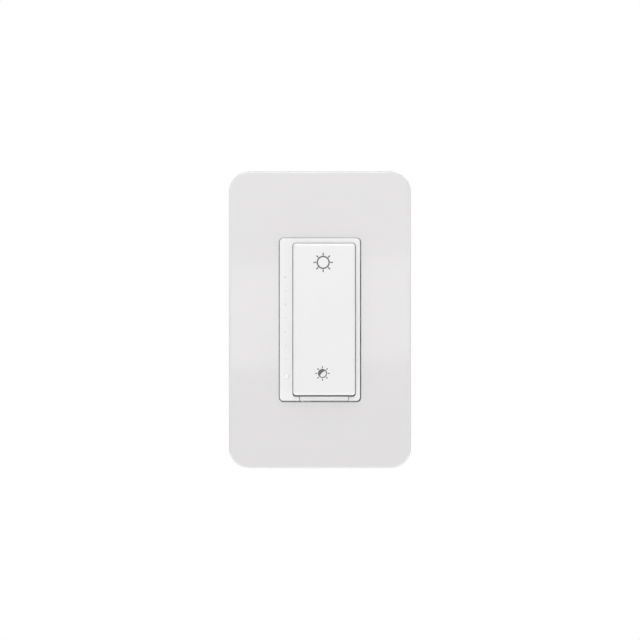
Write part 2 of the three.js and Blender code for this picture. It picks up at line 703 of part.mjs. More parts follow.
function makeElectrolytic() {
  const { radius, front, back, legX, neck } = canCap;
  const grooveBack = back - 1.6;
  const groove = cut(rodY(radius + 0.5, grooveBack - 0.6, grooveBack),
    rodY(neck, grooveBack - 0.6 - PAST, grooveBack + PAST));
  const legs = legsToBoard([[-legX, 0], [legX, 0]], back - 0.2);
  return join(cut(rodY(radius, front, back), groove), ...legs);
}

function makeVaristor() {
  const { y, radius, half, legX, legZ } = varistor;
  const disc = rodX(radius, -half, half, y);
  return join(disc, ...legsToBoard([[-legX, -legZ], [legX, legZ]], y + radius / 2));
}

function makeFuse() {
  const { y, radius, capRadius, half, capLength } = fuse;
  const legX = half - 0.6;
  const tube = rodX(radius, 1 - half, half - 1, y, 0, FEW);
  const caps = BOTH.map((side) =>
    rodX(capRadius, ...onSide(side, half - capLength, half), y, 0, FEW));
  return join(tube, ...caps, ...legsToBoard([[-legX, 0], [legX, 0]], y));
}

function makeTriacTab() {
  const { z, halfHeight, front, tabLeft, tabRight, tabThick, screwX, hole } = triac;
  const back = front + tabThick;
  const plate = block([tabLeft, tabRight], [front, back], about(z, halfHeight));
  return cut(plate, rodY(hole, front - PAST, back + PAST, screwX, z, FEW));
}

function makeTriacBody() {
  const { z, halfHeight, front, legPitch, legHalf, legFront, legRight } = triac;
  const body = block([triac.bodyLeft, triac.bodyRight], [front, triac.bodyBack],
    about(z, halfHeight));
  const legThick = 2 * legHalf;
  const legs = [];
  for (const offset of [-legPitch, 0, legPitch]) {
    const height = about(z + offset, legHalf);
    legs.push(block([triac.bodyRight - 3 * TOUCH, legRight], [legFront, legFront + legThick],
      height));
    legs.push(block([legRight - legThick, legRight], [legFront, powerFoot], height));
  }
  return join(body, ...legs);
}

// ---- Service switch contacts --------------------------------------------------------------

function makeBridge() {
  const front = tab.stemBack + TOUCH;
  return block([contact.bridgeLeft, contact.bridgeRight], [front, front + contact.bridgeThick],
    [contact.low, contact.high]);
}

// A spring-metal contact that rises from the power board to meet the bridge.
function makeFixedContact() {
  const { half, thick, low, high, bladeLow, bladeHigh, footHigh, bridgeThick } = contact;
  const front = tab.stemBack + bridgeThick + 2 * TOUCH;
  const across = about(0, half);
  const pad = block(across, [front, front + thick], [low, high]);
  const blade = block(across, [front, powerFoot], [bladeLow, bladeHigh]);
  const foot = block(across, [powerFoot - thick, powerFoot], [bladeLow, footHigh]);
  return join(pad, blade, foot);
}

// ---- Rear housing and terminals -----------------------------------------------------------

function makeHousing() {
  const { width, height, corner, front, back, wall } = housing;
  const outside = slab(roundedShape(width, height, corner), front, back);
  const inside = slab(roundedShape(width - 2 * wall, height - 2 * wall, corner - wall),
    front - PAST, back - wall);
  const solids = [];
  const cuts = [];
  for (const side of BOTH) {
    for (const end of BOTH) {
      const x = side * housing.screwX;
      const z = end * housing.screwZ;
      solids.push(rodY(housing.postRadius, front, back - 1, x, z, FEW));
      cuts.push(rodY(housing.postHole, front - PAST, back + PAST, x, z, FEW));
      cuts.push(rodY(housing.seatRadius, back - housing.seatDeep, back + PAST, x, z));
      const middle = end * terminal.z;
      solids.push(block(onSide(side, terminal.wallIn, width / 2),
        [terminal.wallFront, terminal.wallBack], about(middle, terminal.wallHalf)));
      cuts.push(block(onSide(side, terminal.pocketIn, width / 2 + PAST),
        [terminal.pocketFront, terminal.pocketBack], about(middle, terminal.pocketHalf)));
      cuts.push(rodX(terminal.nutRadius, ...onSide(side, terminal.nutIn, terminal.pocketIn + 0.5),
        terminal.y, middle, FEW));
    }
  }
  const label = slab(roundedShape(housing.labelWidth, housing.labelHeight, 1),
    back - housing.labelDeep, back + PAST);
  const filled = join(cut(outside, inside), ...solids).intersect(outside);
  return cut(filled, ...cuts, label);
}

// A terminal's clamp plate and screw, drawn for the right-hand side with the head outwards.
function makeTerminalPlate() {
  const { plateFront, plateThick, plateHalf, nutRadius } = terminal;
  const plateBack = plateFront + plateThick;
  const plate = block([plateFront, plateBack], about(0, plateHalf), about(0, plateHalf));
  return cut(plate, rodX(nutRadius, plateFront - PAST, plateBack + PAST, 0, 0, FEW));
}

function makeTerminalScrew() {
  const { headFront, headThick, headRadius, shankFront, shankRadius } = terminal;
  const crest = headFront + headThick;
  const head = rodX(headRadius, headFront, crest);
  const shank = rodX(shankRadius, shankFront, headFront + headThick / 2, 0, 0, FEW);
  const slot = block([crest - terminal.slotDeep, crest + PAST], about(0, headRadius + PAST),
    about(0, terminal.slotHalf));
  return cut(join(head, shank), slot);
}

// A hexagon-headed earth screw along Z, its head below the folded tab.
function makeEarthScrew() {
  const { headRadius, headLow, headHigh, shankRadius, shankHigh, slotHalf, slotDeep } = earth;
  const hexagon = 6;
  const head = rodZ(headRadius, headLow, headHigh, 0, 0, hexagon);
  const shank = rodZ(shankRadius, (headLow + headHigh) / 2, shankHigh, 0, 0, FEW);
  const slot = block(about(0, headRadius + PAST), about(0, slotHalf),
    [headLow - PAST, headLow + slotDeep]);
  return cut(join(head, shank), slot);
}

function makeRetainer() {
  const { half, halfHeight, front, thick, hole } = retainer;
  const plate = block(about(0, half), [front, front + thick], about(0, halfHeight));
  return cut(plate, rodY(hole, front - PAST, front + thick + PAST, 0, 0, FEW));
}

// ---- Assembly -----------------------------------------------------------------------------

const wallPlate = group("wall_plate");
place(wallPlate, "wall_plate_cover", makeCover(), material.glossWhite);
place(wallPlate, "sub_plate", makeSubPlate(), material.plainWhite);

const device = group("device");
place(device, "device_frame", makeFrame(), material.satinWhite);
place(device, "paddle", makePaddle(), material.satinWhite);
place(device, "level_light_pipe", makeLightPipe(), material.clear);
place(device, "status_lens", makeStatusLens(), material.clear);
place(device, "yoke", makeYoke(), material.yokeMetal);
place(device, "insulating_sheet", makeInsulatingSheet(), material.sheet);

const ENDS = [["top", 1], ["bottom", -1]];
const SIDES = [["left", -1], ["right", 1]];
const HALF_TURN = [Math.PI, 0, 0]; // turns a screw's head to the back

for (const [label, end] of ENDS) {
  const plateSeat = subPlate.back - subPlate.seatDeep - SOLDER;
  const boxSeat = yoke.front - SOLDER;
  const station = [paddle.x, 0, paddle.z + end * plunger.offset];
  place(wallPlate, `plate_screw_${label}`, machineScrew(plateScrew), material.glossWhite,
    [0, plateSeat, end * yoke.plateScrewZ]);
  place(device, `box_screw_${label}`, machineScrew(boxScrew), material.steel,
    [0, boxSeat, end * yoke.boxScrewZ]);
  place(device, `screw_retainer_${label}`, makeRetainer(), material.fibre,
    [0, 0, end * yoke.boxScrewZ]);
  place(device, `return_plunger_${label}`, makePlunger(), material.plainWhite, station);
  place(device, `return_spring_${label}`, makeReturnSpring(), material.steel, station);
  place(device, `tact_switch_${label}`, makeTactSwitch(), material.blackPlastic, station);
  place(device, `tact_button_${label}`, makeTactButton(), material.greyPlastic, station);
}

const serviceSwitch = group("service_switch", device);
place(serviceSwitch, "airgap_tab", makeTab(), material.satinWhite);
place(serviceSwitch, "airgap_bridge", makeBridge(), material.copper);
place(serviceSwitch, "airgap_contact_left", makeFixedContact(), material.copper,
  [contact.leftX, 0, 0]);
place(serviceSwitch, "airgap_contact_right", makeFixedContact(), material.copper,
  [contact.rightX, 0, 0]);

const electronics = group("electronics", device);
place(electronics, "control_board", makeControlBoard(), material.circuitBoard);
place(electronics, "led_strip", makeLedStrip(), material.circuitBoard);
place(electronics, "radio_module_board", makeRadioBoard(), material.circuitBoard);
place(electronics, "radio_module_shield", makeRadioShield(), material.steel);
place(electronics, "microcontroller", makeController(), material.epoxy);
place(electronics, "board_connector", makeConnector(), material.blackPlastic);
place(electronics, "power_board", makePowerBoard(), material.circuitBoard);
place(electronics, "choke_core", makeChokeCore(), material.ferrite, [choke.x, 0, choke.z]);
place(electronics, "choke_winding", makeChokeWinding(), material.copper,
  [choke.x, 0, choke.z]);
place(electronics, "transformer_core", makeTransformerCore(), material.ferrite,
  [transformer.x, 0, transformer.z]);
place(electronics, "transformer_winding", makeTransformerWinding(), material.filmBox,
  [transformer.x, 0, transformer.z]);
place(electronics, "film_capacitor", makeFilmCapacitor(), material.filmBox);
place(electronics, "electrolytic_capacitor", makeElectrolytic(), material.sleeve,
  [canCap.x, 0, canCap.z]);
place(electronics, "varistor", makeVaristor(), material.blueDisc,
  [varistor.x, 0, varistor.z]);
place(electronics, "fuse", makeFuse(), material.ceramic, [fuse.x, 0, fuse.z]);
place(electronics, "triac_tab", makeTriacTab(), material.steel);
place(electronics, "triac_body", makeTriacBody(), material.epoxy);
place(electronics, "triac_screw", machineScrew(triacScrew), material.steel,
  [triac.screwX, triac.front + triac.tabThick + TOUCH, triac.z], HALF_TURN);

const rear = group("rear", device);
const housingSeat = housing.back - housing.seatDeep + SOLDER;
const length = housingSeat - yoke.front - 2.5 * TOUCH;
place(rear, "rear_housing", makeHousing(), material.blackPlastic);
for (const [endName, end] of ENDS) {
  for (const [sideName, side] of SIDES) {
    place(rear, `housing_screw_${endName}_${sideName}`,
      machineScrew({ ...housingScrew, length }), material.steel,
      [side * housing.screwX, housingSeat, end * housing.screwZ], HALF_TURN);
  }
}

const terminals = [
  ["line", 1, 1, material.brass],
  ["load", 1, -1, material.brass],
  ["neutral", -1, 1, material.steel],
  ["traveler", -1, -1, material.brass],
];
for (const [name, side, end, metal] of terminals) {
  const spot = [0, terminal.y, end * terminal.z];
  const turn = [0, 0, side > 0 ? 0 : Math.PI];
  place(rear, `${name}_terminal_plate`, makeTerminalPlate(), metal, spot, turn);
  place(rear, `${name}_terminal_screw`, makeTerminalScrew(), metal, spot, turn);
}
place(device, "earth_screw", makeEarthScrew(), material.greenMetal, [earth.x, earth.y, 0]);

export default part;
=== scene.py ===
import json
import math
from collections import namedtuple

import bmesh
import bpy
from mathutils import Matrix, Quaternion, Vector


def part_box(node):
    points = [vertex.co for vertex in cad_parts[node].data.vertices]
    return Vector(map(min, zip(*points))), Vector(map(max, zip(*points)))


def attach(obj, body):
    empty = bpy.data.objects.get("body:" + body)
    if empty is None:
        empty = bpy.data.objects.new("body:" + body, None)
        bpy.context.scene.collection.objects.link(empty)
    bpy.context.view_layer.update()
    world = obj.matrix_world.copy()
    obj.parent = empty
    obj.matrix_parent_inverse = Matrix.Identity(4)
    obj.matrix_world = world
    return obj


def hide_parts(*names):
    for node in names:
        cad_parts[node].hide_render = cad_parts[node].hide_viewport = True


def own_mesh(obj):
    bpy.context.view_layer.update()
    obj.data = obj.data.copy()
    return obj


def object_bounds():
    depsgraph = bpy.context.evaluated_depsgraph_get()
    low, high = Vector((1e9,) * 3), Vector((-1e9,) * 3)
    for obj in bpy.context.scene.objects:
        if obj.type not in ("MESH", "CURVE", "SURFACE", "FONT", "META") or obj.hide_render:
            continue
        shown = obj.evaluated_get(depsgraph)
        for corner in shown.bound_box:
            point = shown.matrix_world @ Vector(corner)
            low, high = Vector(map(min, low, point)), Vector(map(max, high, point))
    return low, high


# The looks of a paddle dimmer and its wall plate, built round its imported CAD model.
# Lengths are in millimetres until a mesh is made, and MM turns them into Blender's metres.
# Y runs from the room into the wall, so a piece's front is its lowest Y.

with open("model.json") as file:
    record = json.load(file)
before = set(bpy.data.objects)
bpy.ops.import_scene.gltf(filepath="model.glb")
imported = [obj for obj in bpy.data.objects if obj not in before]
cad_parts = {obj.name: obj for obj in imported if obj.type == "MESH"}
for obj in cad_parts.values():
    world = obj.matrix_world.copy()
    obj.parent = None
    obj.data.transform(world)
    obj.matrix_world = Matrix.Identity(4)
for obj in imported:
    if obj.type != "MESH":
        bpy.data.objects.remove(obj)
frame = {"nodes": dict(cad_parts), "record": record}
CAD_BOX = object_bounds()

MM = 0.001
BOTH = (-1, 1)
CORNER_STEPS = 12  # segments round a quarter turn of a visible outline
SHARP_DEGREES = 35  # faces that meet at more than this keep a sharp edge
MERGE_METRES = 1e-7
ALMOST_NOTHING = 1e-4  # the radius that closes a turned piece on its axis
PAST = 1  # how far a cutting tool reaches past the face that it cuts


def box_mm(node):
    """A CAD node's lowest and highest corners, in millimetres."""
    low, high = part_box(node)
    return Vector(low) / MM, Vector(high) / MM


COVER = box_mm("wall_plate_cover")
FRONT = box_mm("device_frame")
PADDLE = box_mm("paddle")
TAB = box_mm("airgap_tab")
PIPE = box_mm("level_light_pipe")
LENS = box_mm("status_lens")
YOKE = box_mm("yoke")
SUB_PLATE = box_mm("sub_plate")
HOUSING = box_mm("rear_housing")
SLOTS = {row["node"]: row["material_slot"] for row in frame["record"]["subparts"]}


def middle_of(node):
    low, high = box_mm(node)
    return (low + high) / 2


def around(middle, half):
    """The two ends of a span, from its middle."""
    return middle - half, middle + half


# ---- Outlines and loops: lists of (x, z) or (x, y, z) points ------------------------------


def circle(x, z, radius, steps=32):
    turns = [2 * math.pi * i / steps for i in range(steps)]
    return [(x + radius * math.cos(t), z + radius * math.sin(t)) for t in turns]


def arc(x, z, radius, start, stop, steps):
    """Points along an arc, from one angle in degrees to another."""
    turns = [math.radians(start + (stop - start) * i / steps) for i in range(steps + 1)]
    return [(x + radius * math.cos(t), z + radius * math.sin(t)) for t in turns]


def quarter_turn(steps):
    return [math.pi / 2 * i / steps for i in range(steps + 1)]


def between(first, second, t):
    """A point part of the way from one point to another."""
    return tuple(a + (b - a) * t for a, b in zip(first, second))


def rounded_loop(width, height, radius, x=0.0, z=0.0, steps=CORNER_STEPS, sides=6):
    """Points round a rounded rectangle, the same number for any size."""
    corners = [(1, -1, -90), (1, 1, 0), (-1, 1, 90), (-1, -1, 180)]
    arcs = []
    for side, end, start in corners:
        middle = (x + side * (width / 2 - radius), z + end * (height / 2 - radius))
        arcs.append(arc(*middle, radius, start, start + 90, steps))
    points = []
    for index, corner in enumerate(arcs):
        following = arcs[(index + 1) % len(arcs)][0]
        points += corner
        points += [between(corner[-1], following, i / sides) for i in range(1, sides)]
    return points


def level(loop, y):
    return [(x, y, z) for x, z in loop]


def crown(front, drop, height, z0=0.0):
    """The depth at any z of a face whose middle stands proud of its ends by a drop."""
    return lambda z: front + drop * (2 * (z - z0) / height) ** 2


def on_face(loop, face_y, depth=0.0):
    """A loop that follows a crowned face, at a depth behind it."""
    return [(x, face_y(z) + depth, z) for x, z in loop]


def own_axes(at, direction, turn=0.0):
    """Turns a screw's own (across, up, outwards) lengths into the model's millimetres."""
    out = Vector(direction)
    upright = abs(out.z) >= 0.5
    up = Quaternion(out, math.radians(turn)) @ Vector((0, 1, 0) if upright else (0, 0, 1))
    across = up.cross(out)
    start = Vector(at)
    return lambda a, b, c: tuple(start + across * a + up * b + out * c)


def rings(spot, profile, steps):
    """Rings on a screw's own axes, from (radius, height) points."""
    loops = []
    for radius, height in profile:
        ring = circle(0, 0, max(radius, ALMOST_NOTHING), steps)
        loops.append([spot(a, b, height) for a, b in ring])
    return loops


# ---- Meshes -------------------------------------------------------------------------------


def new_object(name, data):
    made = bpy.data.objects.new(name, data)
    bpy.context.collection.objects.link(made)
    return made


def mesh_of(thing):
    """The mesh that an object's curve or modifiers come to."""
    graph = bpy.context.evaluated_depsgraph_get()
    return bpy.data.meshes.new_from_object(thing.evaluated_get(graph))


def smooth_by_angle(piece):
    """Smooth shading, with edges kept sharp where two faces meet at a wide enough angle."""
    mesh = piece.data
    for face in mesh.polygons:
        face.use_smooth = True
    work = bmesh.new()
    work.from_mesh(mesh)
    limit = math.radians(SHARP_DEGREES)
    for edge in work.edges:
        edge.smooth = len(edge.link_faces) == 2 and edge.calc_face_angle(0) < limit
    work.to_mesh(mesh)
    work.free()


def tidy_mesh(piece):
    """Merges doubled points, turns faces outwards and shades the piece."""
    work = bmesh.new()
    work.from_mesh(piece.data)
    bmesh.ops.remove_doubles(work, verts=work.verts, dist=MERGE_METRES)
    bmesh.ops.recalc_face_normals(work, faces=work.faces)
    work.to_mesh(piece.data)
    work.free()
    smooth_by_angle(piece)
    return piece


def strips_across(start, sides):
    """Faces across a rounded loop, from side to side, that can follow a crown along its height."""
    rise = 2 * (CORNER_STEPS + 1) + sides - 1
    top_side = [start + rise + i for i in range(sides - 1)]
    left_start = start + rise + sides - 1
    bottom_side = [left_start + rise + i for i in range(sides - 1)]
    right = [start + i for i in range(rise)]
    left = [left_start + rise - 1 - i for i in range(rise)]
    faces = []
    for i in range(rise - 1):
        below = bottom_side if i == 0 else []
        above = top_side if i == rise - 2 else []
        faces.append((right[i], right[i + 1], *above, left[i + 1], left[i], *below))
    return faces


def shell(name, loops, closed=False, crowned_sides=0):
    """Joins loops of equal length into a surface.

    A closed shell joins its last loop to its first. Any other has a cap at each end: one face,
    or strips across it if the loops' sides have a number of crowned_sides."""
    count = len(loops[0])
    faces = []
    for k in range(len(loops) if closed else len(loops) - 1):
        a, b = k * count, (k + 1) % len(loops) * count
        for i in range(count):
            j = (i + 1) % count
            faces.append((a + i, a + j, b + j, b + i))
    for start in () if closed else (0, (len(loops) - 1) * count):
        if crowned_sides:
            faces += strips_across(start, crowned_sides)
        else:
            faces.append(tuple(range(start, start + count)))
    mesh = bpy.data.meshes.new(name)
    mesh.from_pydata([Vector(point) * MM for loop in loops for point in loop], [], faces)
    return tidy_mesh(new_object(name, mesh))


def rod_y(name, x, z, radius, front, back, steps=32):
    """A plain rod along Y, which also serves to drill a hole."""
    loop = circle(x, z, radius, steps)
    return shell(name, [level(loop, front), level(loop, back)])


def rod_along(name, at, direction, radius, half, steps=32):
    """A plain rod centred on a point, along a direction."""
    return shell(name, rings(own_axes(at, direction), [(radius, -half), (radius, half)], steps))


def turned(name, profile, x, z, steps=48):
    """A turned piece about Y, from (radius, y) points that start and end on the axis."""
    loops = [level(circle(x, z, max(r, ALMOST_NOTHING), steps), y) for r, y in profile]
    return shell(name, loops)


def block(name, xs, ys, zs, round_edge, segments=3):
    """A block with rounded edges, between two values of x, of y and of z in either order."""
    spans = [sorted(span) for span in (xs, ys, zs)]
    work = bmesh.new()
    bmesh.ops.create_cube(work, size=1)
    for vertex in work.verts:
        for axis, (low, high) in enumerate(spans):
            vertex.co[axis] = (low + (high - low) * (vertex.co[axis] + 0.5)) * MM
    offset = round_edge * MM
    edges = work.edges[:]
    bmesh.ops.bevel(work, geom=edges, offset=offset, segments=segments, profile=0.5, affect="EDGES")
    mesh = bpy.data.meshes.new(name)
    work.to_mesh(mesh)
    work.free()
    return tidy_mesh(new_object(name, mesh))


def curve_mesh(name, curve, lines, closed):
    """The mesh of a curve once lines of (x, y, z) points are added to it."""
    curve.bevel_resolution = 2
    for points in lines:
        spline = curve.splines.new("POLY")
        spline.points.add(len(points) - 1)
        for point, place in zip(spline.points, points):
            point.co = (*(Vector(place) * MM), 1)
        spline.use_cyclic_u = closed
    holder = new_object(name, curve)
    mesh = mesh_of(holder)
    bpy.data.objects.remove(holder)
    return mesh


def flat_plate(name, outlines, front, back, bevel):
    """A flat plate with holes: the first outline is its edge, and the others are holes."""
    curve = bpy.data.curves.new(name, "CURVE")
    curve.dimensions = "2D"
    curve.fill_mode = "BOTH"
    curve.extrude = ((back - front) / 2 - bevel) * MM
    curve.bevel_depth = bevel * MM
    curve.offset = -bevel * MM
    lines = [[(x, z, 0) for x, z in loop] for loop in outlines]
    mesh = curve_mesh(name, curve, lines, closed=True)
    middle = (front + back) / 2 * MM
    for vertex in mesh.vertices:
        x, z, depth = vertex.co
        vertex.co = (x, middle - depth, z)
    return tidy_mesh(new_object(name, mesh))


def joined(name, *pieces):
    """Several closed shells as one piece."""
    work = bmesh.new()
    for piece in pieces:
        work.from_mesh(piece.data)
        bpy.data.objects.remove(piece)
    mesh = bpy.data.meshes.new(name)
    work.to_mesh(mesh)
    work.free()
    made = new_object(name, mesh)
    smooth_by_angle(made)
    return made


def apply_modifiers(piece):
    mesh = mesh_of(piece)
    piece.modifiers.clear()
    piece.data = mesh


def combined(piece, operation, tools):
    for tool in tools:
        modifier = piece.modifiers.new(operation, "BOOLEAN")
        modifier.operation = operation
        modifier.solver = "EXACT"
        modifier.object = tool
    apply_modifiers(piece)
    for tool in tools:
        bpy.data.objects.remove(tool)
    return tidy_mesh(piece)


def cut_away(piece, *tools):
    return combined(piece, "DIFFERENCE", tools)


def united(piece, *tools):
    return combined(piece, "UNION", tools)


def soften(piece, width):
    """Rounds off a piece's sharp edges."""
    modifier = piece.modifiers.new("soften", "BEVEL")
    modifier.width = width * MM
    modifier.segments = 2
    modifier.limit_method = "ANGLE"
    modifier.angle_limit = math.radians(40)
    apply_modifiers(piece)
    smooth_by_angle(piece)


# ---- Materials ----------------------------------------------------------------------------


def new_material(name, roughness, metallic=0.0):
    material = bpy.data.materials.new(name)
    material.use_nodes = True
    shader = material.node_tree.nodes["Principled BSDF"]
    shader.inputs["Roughness"].default_value = roughness
    shader.inputs["Metallic"].default_value = metallic
    return material, material.node_tree, shader


def noise(tree, scale, detail, stretch=(1, 1, 1)):
    """Noise in the object's own coordinates, in turns per metre."""
    place = tree.nodes.new("ShaderNodeTexCoord")
    mapping = tree.nodes.new("ShaderNodeMapping")
    mapping.inputs["Scale"].default_value = stretch
    texture = tree.nodes.new("ShaderNodeTexNoise")
    texture.inputs["Scale"].default_value = scale
    texture.inputs["Detail"].default_value = detail
    tree.links.new(place.outputs["Object"], mapping.inputs["Vector"])
    tree.links.new(mapping.outputs["Vector"], texture.inputs["Vector"])
    return texture


def map_range(tree, source, from_span, to_span):
    ramp = tree.nodes.new("ShaderNodeMapRange")
    for label, value in zip(("From Min", "From Max", "To Min", "To Max"), (*from_span, *to_span)):
        ramp.inputs[label].default_value = value
    tree.links.new(source, ramp.inputs["Value"])
    return ramp.outputs["Result"]


def spread(tree, source, low, high):
    """A noise's usual range, stretched to run from low to high."""
    return map_range(tree, source.outputs["Fac"], (0.35, 0.65), (low, high))


def two_tone(tree, shader, color, drift, source):
    """A base colour that drifts to a multiple of itself."""
    mix = tree.nodes.new("ShaderNodeMix")
    mix.data_type = "RGBA"
    mix.inputs[6].default_value = (*color, 1)
    mix.inputs[7].default_value = (*(min(1, c * drift) for c in color), 1)
    tree.links.new(spread(tree, source, 0, 1), mix.inputs[0])
    tree.links.new(mix.outputs[2], shader.inputs["Base Color"])


def bumped(tree, shader, source, strength, depth_mm):
    bump = tree.nodes.new("ShaderNodeBump")
    bump.inputs["Strength"].default_value = strength
    bump.inputs["Distance"].default_value = depth_mm * MM
    tree.links.new(source.outputs["Fac"], bump.inputs["Height"])
    tree.links.new(bump.outputs["Normal"], shader.inputs["Normal"])


def plastic(name, color, roughness, grain=3500, depth_mm=0.02, strength=0.25, drift=0.97):
    """Moulded plastic: a slow drift of colour, a fine moulded grain and slightly uneven gloss."""
    material, tree, shader = new_material(name, roughness)
    slow = noise(tree, scale=45, detail=3)
    two_tone(tree, shader, color, drift, slow)
    bumped(tree, shader, noise(tree, grain, detail=3), strength, depth_mm)
    uneven = spread(tree, slow, low=roughness * 0.92, high=roughness * 1.1)
    tree.links.new(uneven, shader.inputs["Roughness"])
    return material


def metal(name, color, roughness, stretch=(1, 1, 1), grain=900, drift=0.82, strength=0.25):
    """Rolled or plated metal: fine drawn grain, patches of colour and uneven gloss."""
    material, tree, shader = new_material(name, roughness, metallic=1.0)
    two_tone(tree, shader, color, drift, noise(tree, scale=120, detail=4))
    drawn = noise(tree, grain, detail=4, stretch=stretch)
    bumped(tree, shader, drawn, strength, depth_mm=0.02)
    uneven = spread(tree, drawn, low=roughness * 0.8, high=roughness * 1.3)
    tree.links.new(uneven, shader.inputs["Roughness"])
    return material


def milky(name, color):
    """Milky clear plastic, lit a little from inside its own body."""
    material, tree, shader = new_material(name, roughness=0.18)
    slow = noise(tree, scale=300, detail=2)
    two_tone(tree, shader, color, drift=0.96, source=slow)
    bumped(tree, shader, slow, strength=0.1, depth_mm=0.01)
    shader.inputs["Subsurface Weight"].default_value = 0.25
    shader.inputs["Subsurface Radius"].default_value = (MM, MM, MM)
    return material


def ink(name, color):
    """Pad-printed ink with a slightly uneven cover."""
    material, tree, shader = new_material(name, roughness=0.55)
    speckle = noise(tree, scale=2500, detail=3)
    two_tone(tree, shader, color, drift=1.35, source=speckle)
    bumped(tree, shader, speckle, strength=0.2, depth_mm=0.01)
    return material


# Colour, roughness, grain in turns per metre, its depth in mm, its strength, drift of colour
PLASTICS = {
    "gloss_white": ((0.765, 0.752, 0.762), 0.06, 1500, 0.01, 0.03, 0.992),
    "satin_white": ((0.85, 0.848, 0.852), 0.36, 4200, 0.015, 0.18, 0.988),
    # A lighter copy of satin_white for the same plastic on the frame and tab: painted light that
    # offsets the shade the paddle casts on the frame
    "satin_white_painted_lighter": ((0.87, 0.868, 0.876), 0.36, 4200, 0.015, 0.18, 0.99),
    "plain_white": ((0.72, 0.71, 0.69), 0.48, 3000, 0.02, 0.25),
    "black_plastic": ((0.022, 0.023, 0.025), 0.5, 2600, 0.05, 0.45, 0.8),
    "grey_plastic": ((0.11, 0.115, 0.12), 0.5),
    "circuit_board": ((0.012, 0.1, 0.04), 0.32, 1800, 0.02, 0.2, 0.75),
    "epoxy": ((0.02, 0.021, 0.023), 0.55, 3800, 0.04, 0.4, 0.8),
    "fibre": ((0.26, 0.15, 0.07), 0.8, 1600, 0.08, 0.5, 0.7),
    "ferrite": ((0.05, 0.052, 0.058), 0.6, 2400, 0.05, 0.4, 0.8),
    "yellow_film": ((0.6, 0.37, 0.03), 0.35, 1400, 0.02, 0.2, 0.85),
    "blue_coat": ((0.02, 0.09, 0.38), 0.3, 1400, 0.05, 0.3, 0.8),
    "sleeve": ((0.02, 0.025, 0.035), 0.3, 1200, 0.02, 0.2, 0.8),
    "fuse_body": ((0.7, 0.68, 0.62), 0.4),
    "sheet": ((0.68, 0.63, 0.5), 0.55, 2200, 0.03, 0.3, 0.9),
}
# Colour, roughness, stretch of the grain, grain in turns per metre, drift of colour, strength
METALS = {
    "yoke_metal": ((0.66, 0.67, 0.69), 0.34, (1, 1, 0.06), 900, 0.88, 0.1),
    "steel": ((0.6, 0.61, 0.63), 0.3, (1, 1, 1), 700, 0.88, 0.08),
    "brass": ((0.7, 0.5, 0.2), 0.28, (1, 1, 1), 700, 0.88, 0.08),
    "green_metal": ((0.03, 0.22, 0.07), 0.32),
    "copper": ((0.66, 0.31, 0.16), 0.28),
}
MATERIALS = {
    **{name: plastic(name, *row) for name, row in PLASTICS.items()},
    **{name: metal(name, *row) for name, row in METALS.items()},
    "clear_plastic": milky("clear_plastic", (0.93, 0.935, 0.94)),
    "ink": ink("ink", (0.12, 0.12, 0.115)),
}


def finish_piece(piece, body, slot, *nodes, material=None):
    """Gives a piece its material, that of its record slot unless another is named, and its body,
    and hides the CAD nodes it stands for.
    """
    piece.data.materials.clear()
    piece.data.materials.append(MATERIALS[material or slot])
    normals = piece.modifiers.new("flat faces stay flat", "WEIGHTED_NORMAL")
    normals.keep_sharp = True
    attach(piece, body)
    if nodes:
        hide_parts(*nodes)


# ---- Wall plate ---------------------------------------------------------------------------

COVER_CORNER = 8.5
COVER_WALL = 1.7
COVER_DROP = 0.8  # how far the face falls from its middle to its ends
COVER_EDGE = 1.1
COVER_SKIRT = 2.5
OPENING = (33.6, 67.2, 1.8)  # width, height and corner of the plate's opening
OPENING_LIP = 0.22
COLLAR_WALL = 1.0
COLLAR_BACK = -3.4
LUG_Z = 38  # the clip lugs' height above and below the middle
LUG_HALF = 5
LUG_REACH = 0.35
LUG_ROOT = 0.6  # how far a lug is buried in the wall
LUG_DEPTHS = (-3, -0.8)
NOTCH_HALF = 5  # the notch that a screwdriver lifts the plate by
NOTCH_DEPTHS = (-1.2, 2)


def make_cover():
    low, high = COVER
    width, height = high.x - low.x, high.z - low.z
    back = high.y
    face_y = crown(low.y, COVER_DROP, height)

    def outer(inset):
        return rounded_loop(width - 2 * inset, height - 2 * inset, COVER_CORNER - inset)

    def opening(grow):
        opening_width, opening_height, corner = OPENING
        return rounded_loop(opening_width + 2 * grow, opening_height + 2 * grow, corner + grow)

    loops = [level(outer(0), back), level(outer(0), back - COVER_SKIRT)]
    for angle in quarter_turn(6):
        inset, depth = COVER_EDGE * (1 - math.cos(angle)), COVER_EDGE * (1 - math.sin(angle))
        loops.append(on_face(outer(inset), face_y, depth))
    rim, mouth = outer(COVER_EDGE), opening(OPENING_LIP)
    face_steps = 10
    for i in range(1, face_steps):
        loop = [between(first, second, i / face_steps) for first, second in zip(rim, mouth)]
        loops.append(on_face(loop, face_y))
    for angle in quarter_turn(4):
        grow, depth = OPENING_LIP * (1 - math.sin(angle)), OPENING_LIP * (1 - math.cos(angle))
        loops.append(on_face(opening(grow), face_y, depth))
    loops += [level(opening(0), COLLAR_BACK), level(opening(COLLAR_WALL), COLLAR_BACK)]
    loops.append(on_face(opening(COLLAR_WALL), face_y, COVER_WALL))
    loops += [on_face(outer(COVER_WALL), face_y, COVER_WALL), level(outer(COVER_WALL), back)]
    cover = shell("plate_cover", loops, closed=True)
    inner_wall = width / 2 - COVER_WALL
    lugs = []
    for side in BOTH:
        xs = (side * (inner_wall - LUG_REACH), side * (inner_wall + LUG_ROOT))
        for end in BOTH:
            zs = around(end * LUG_Z, LUG_HALF)
            lugs.append(block(f"lug_{side}_{end}", xs, LUG_DEPTHS, zs, round_edge=0.15))
    united(cover, *lugs)
    notch_zs = (low.z - PAST, low.z + 2 * COVER_WALL)
    notch = block("notch", around(0, NOTCH_HALF), NOTCH_DEPTHS, notch_zs, round_edge=0.4)
    cut_away(cover, notch)
    finish_piece(cover, "cover", "gloss_white", "wall_plate_cover")


# ---- Device front -------------------------------------------------------------------------

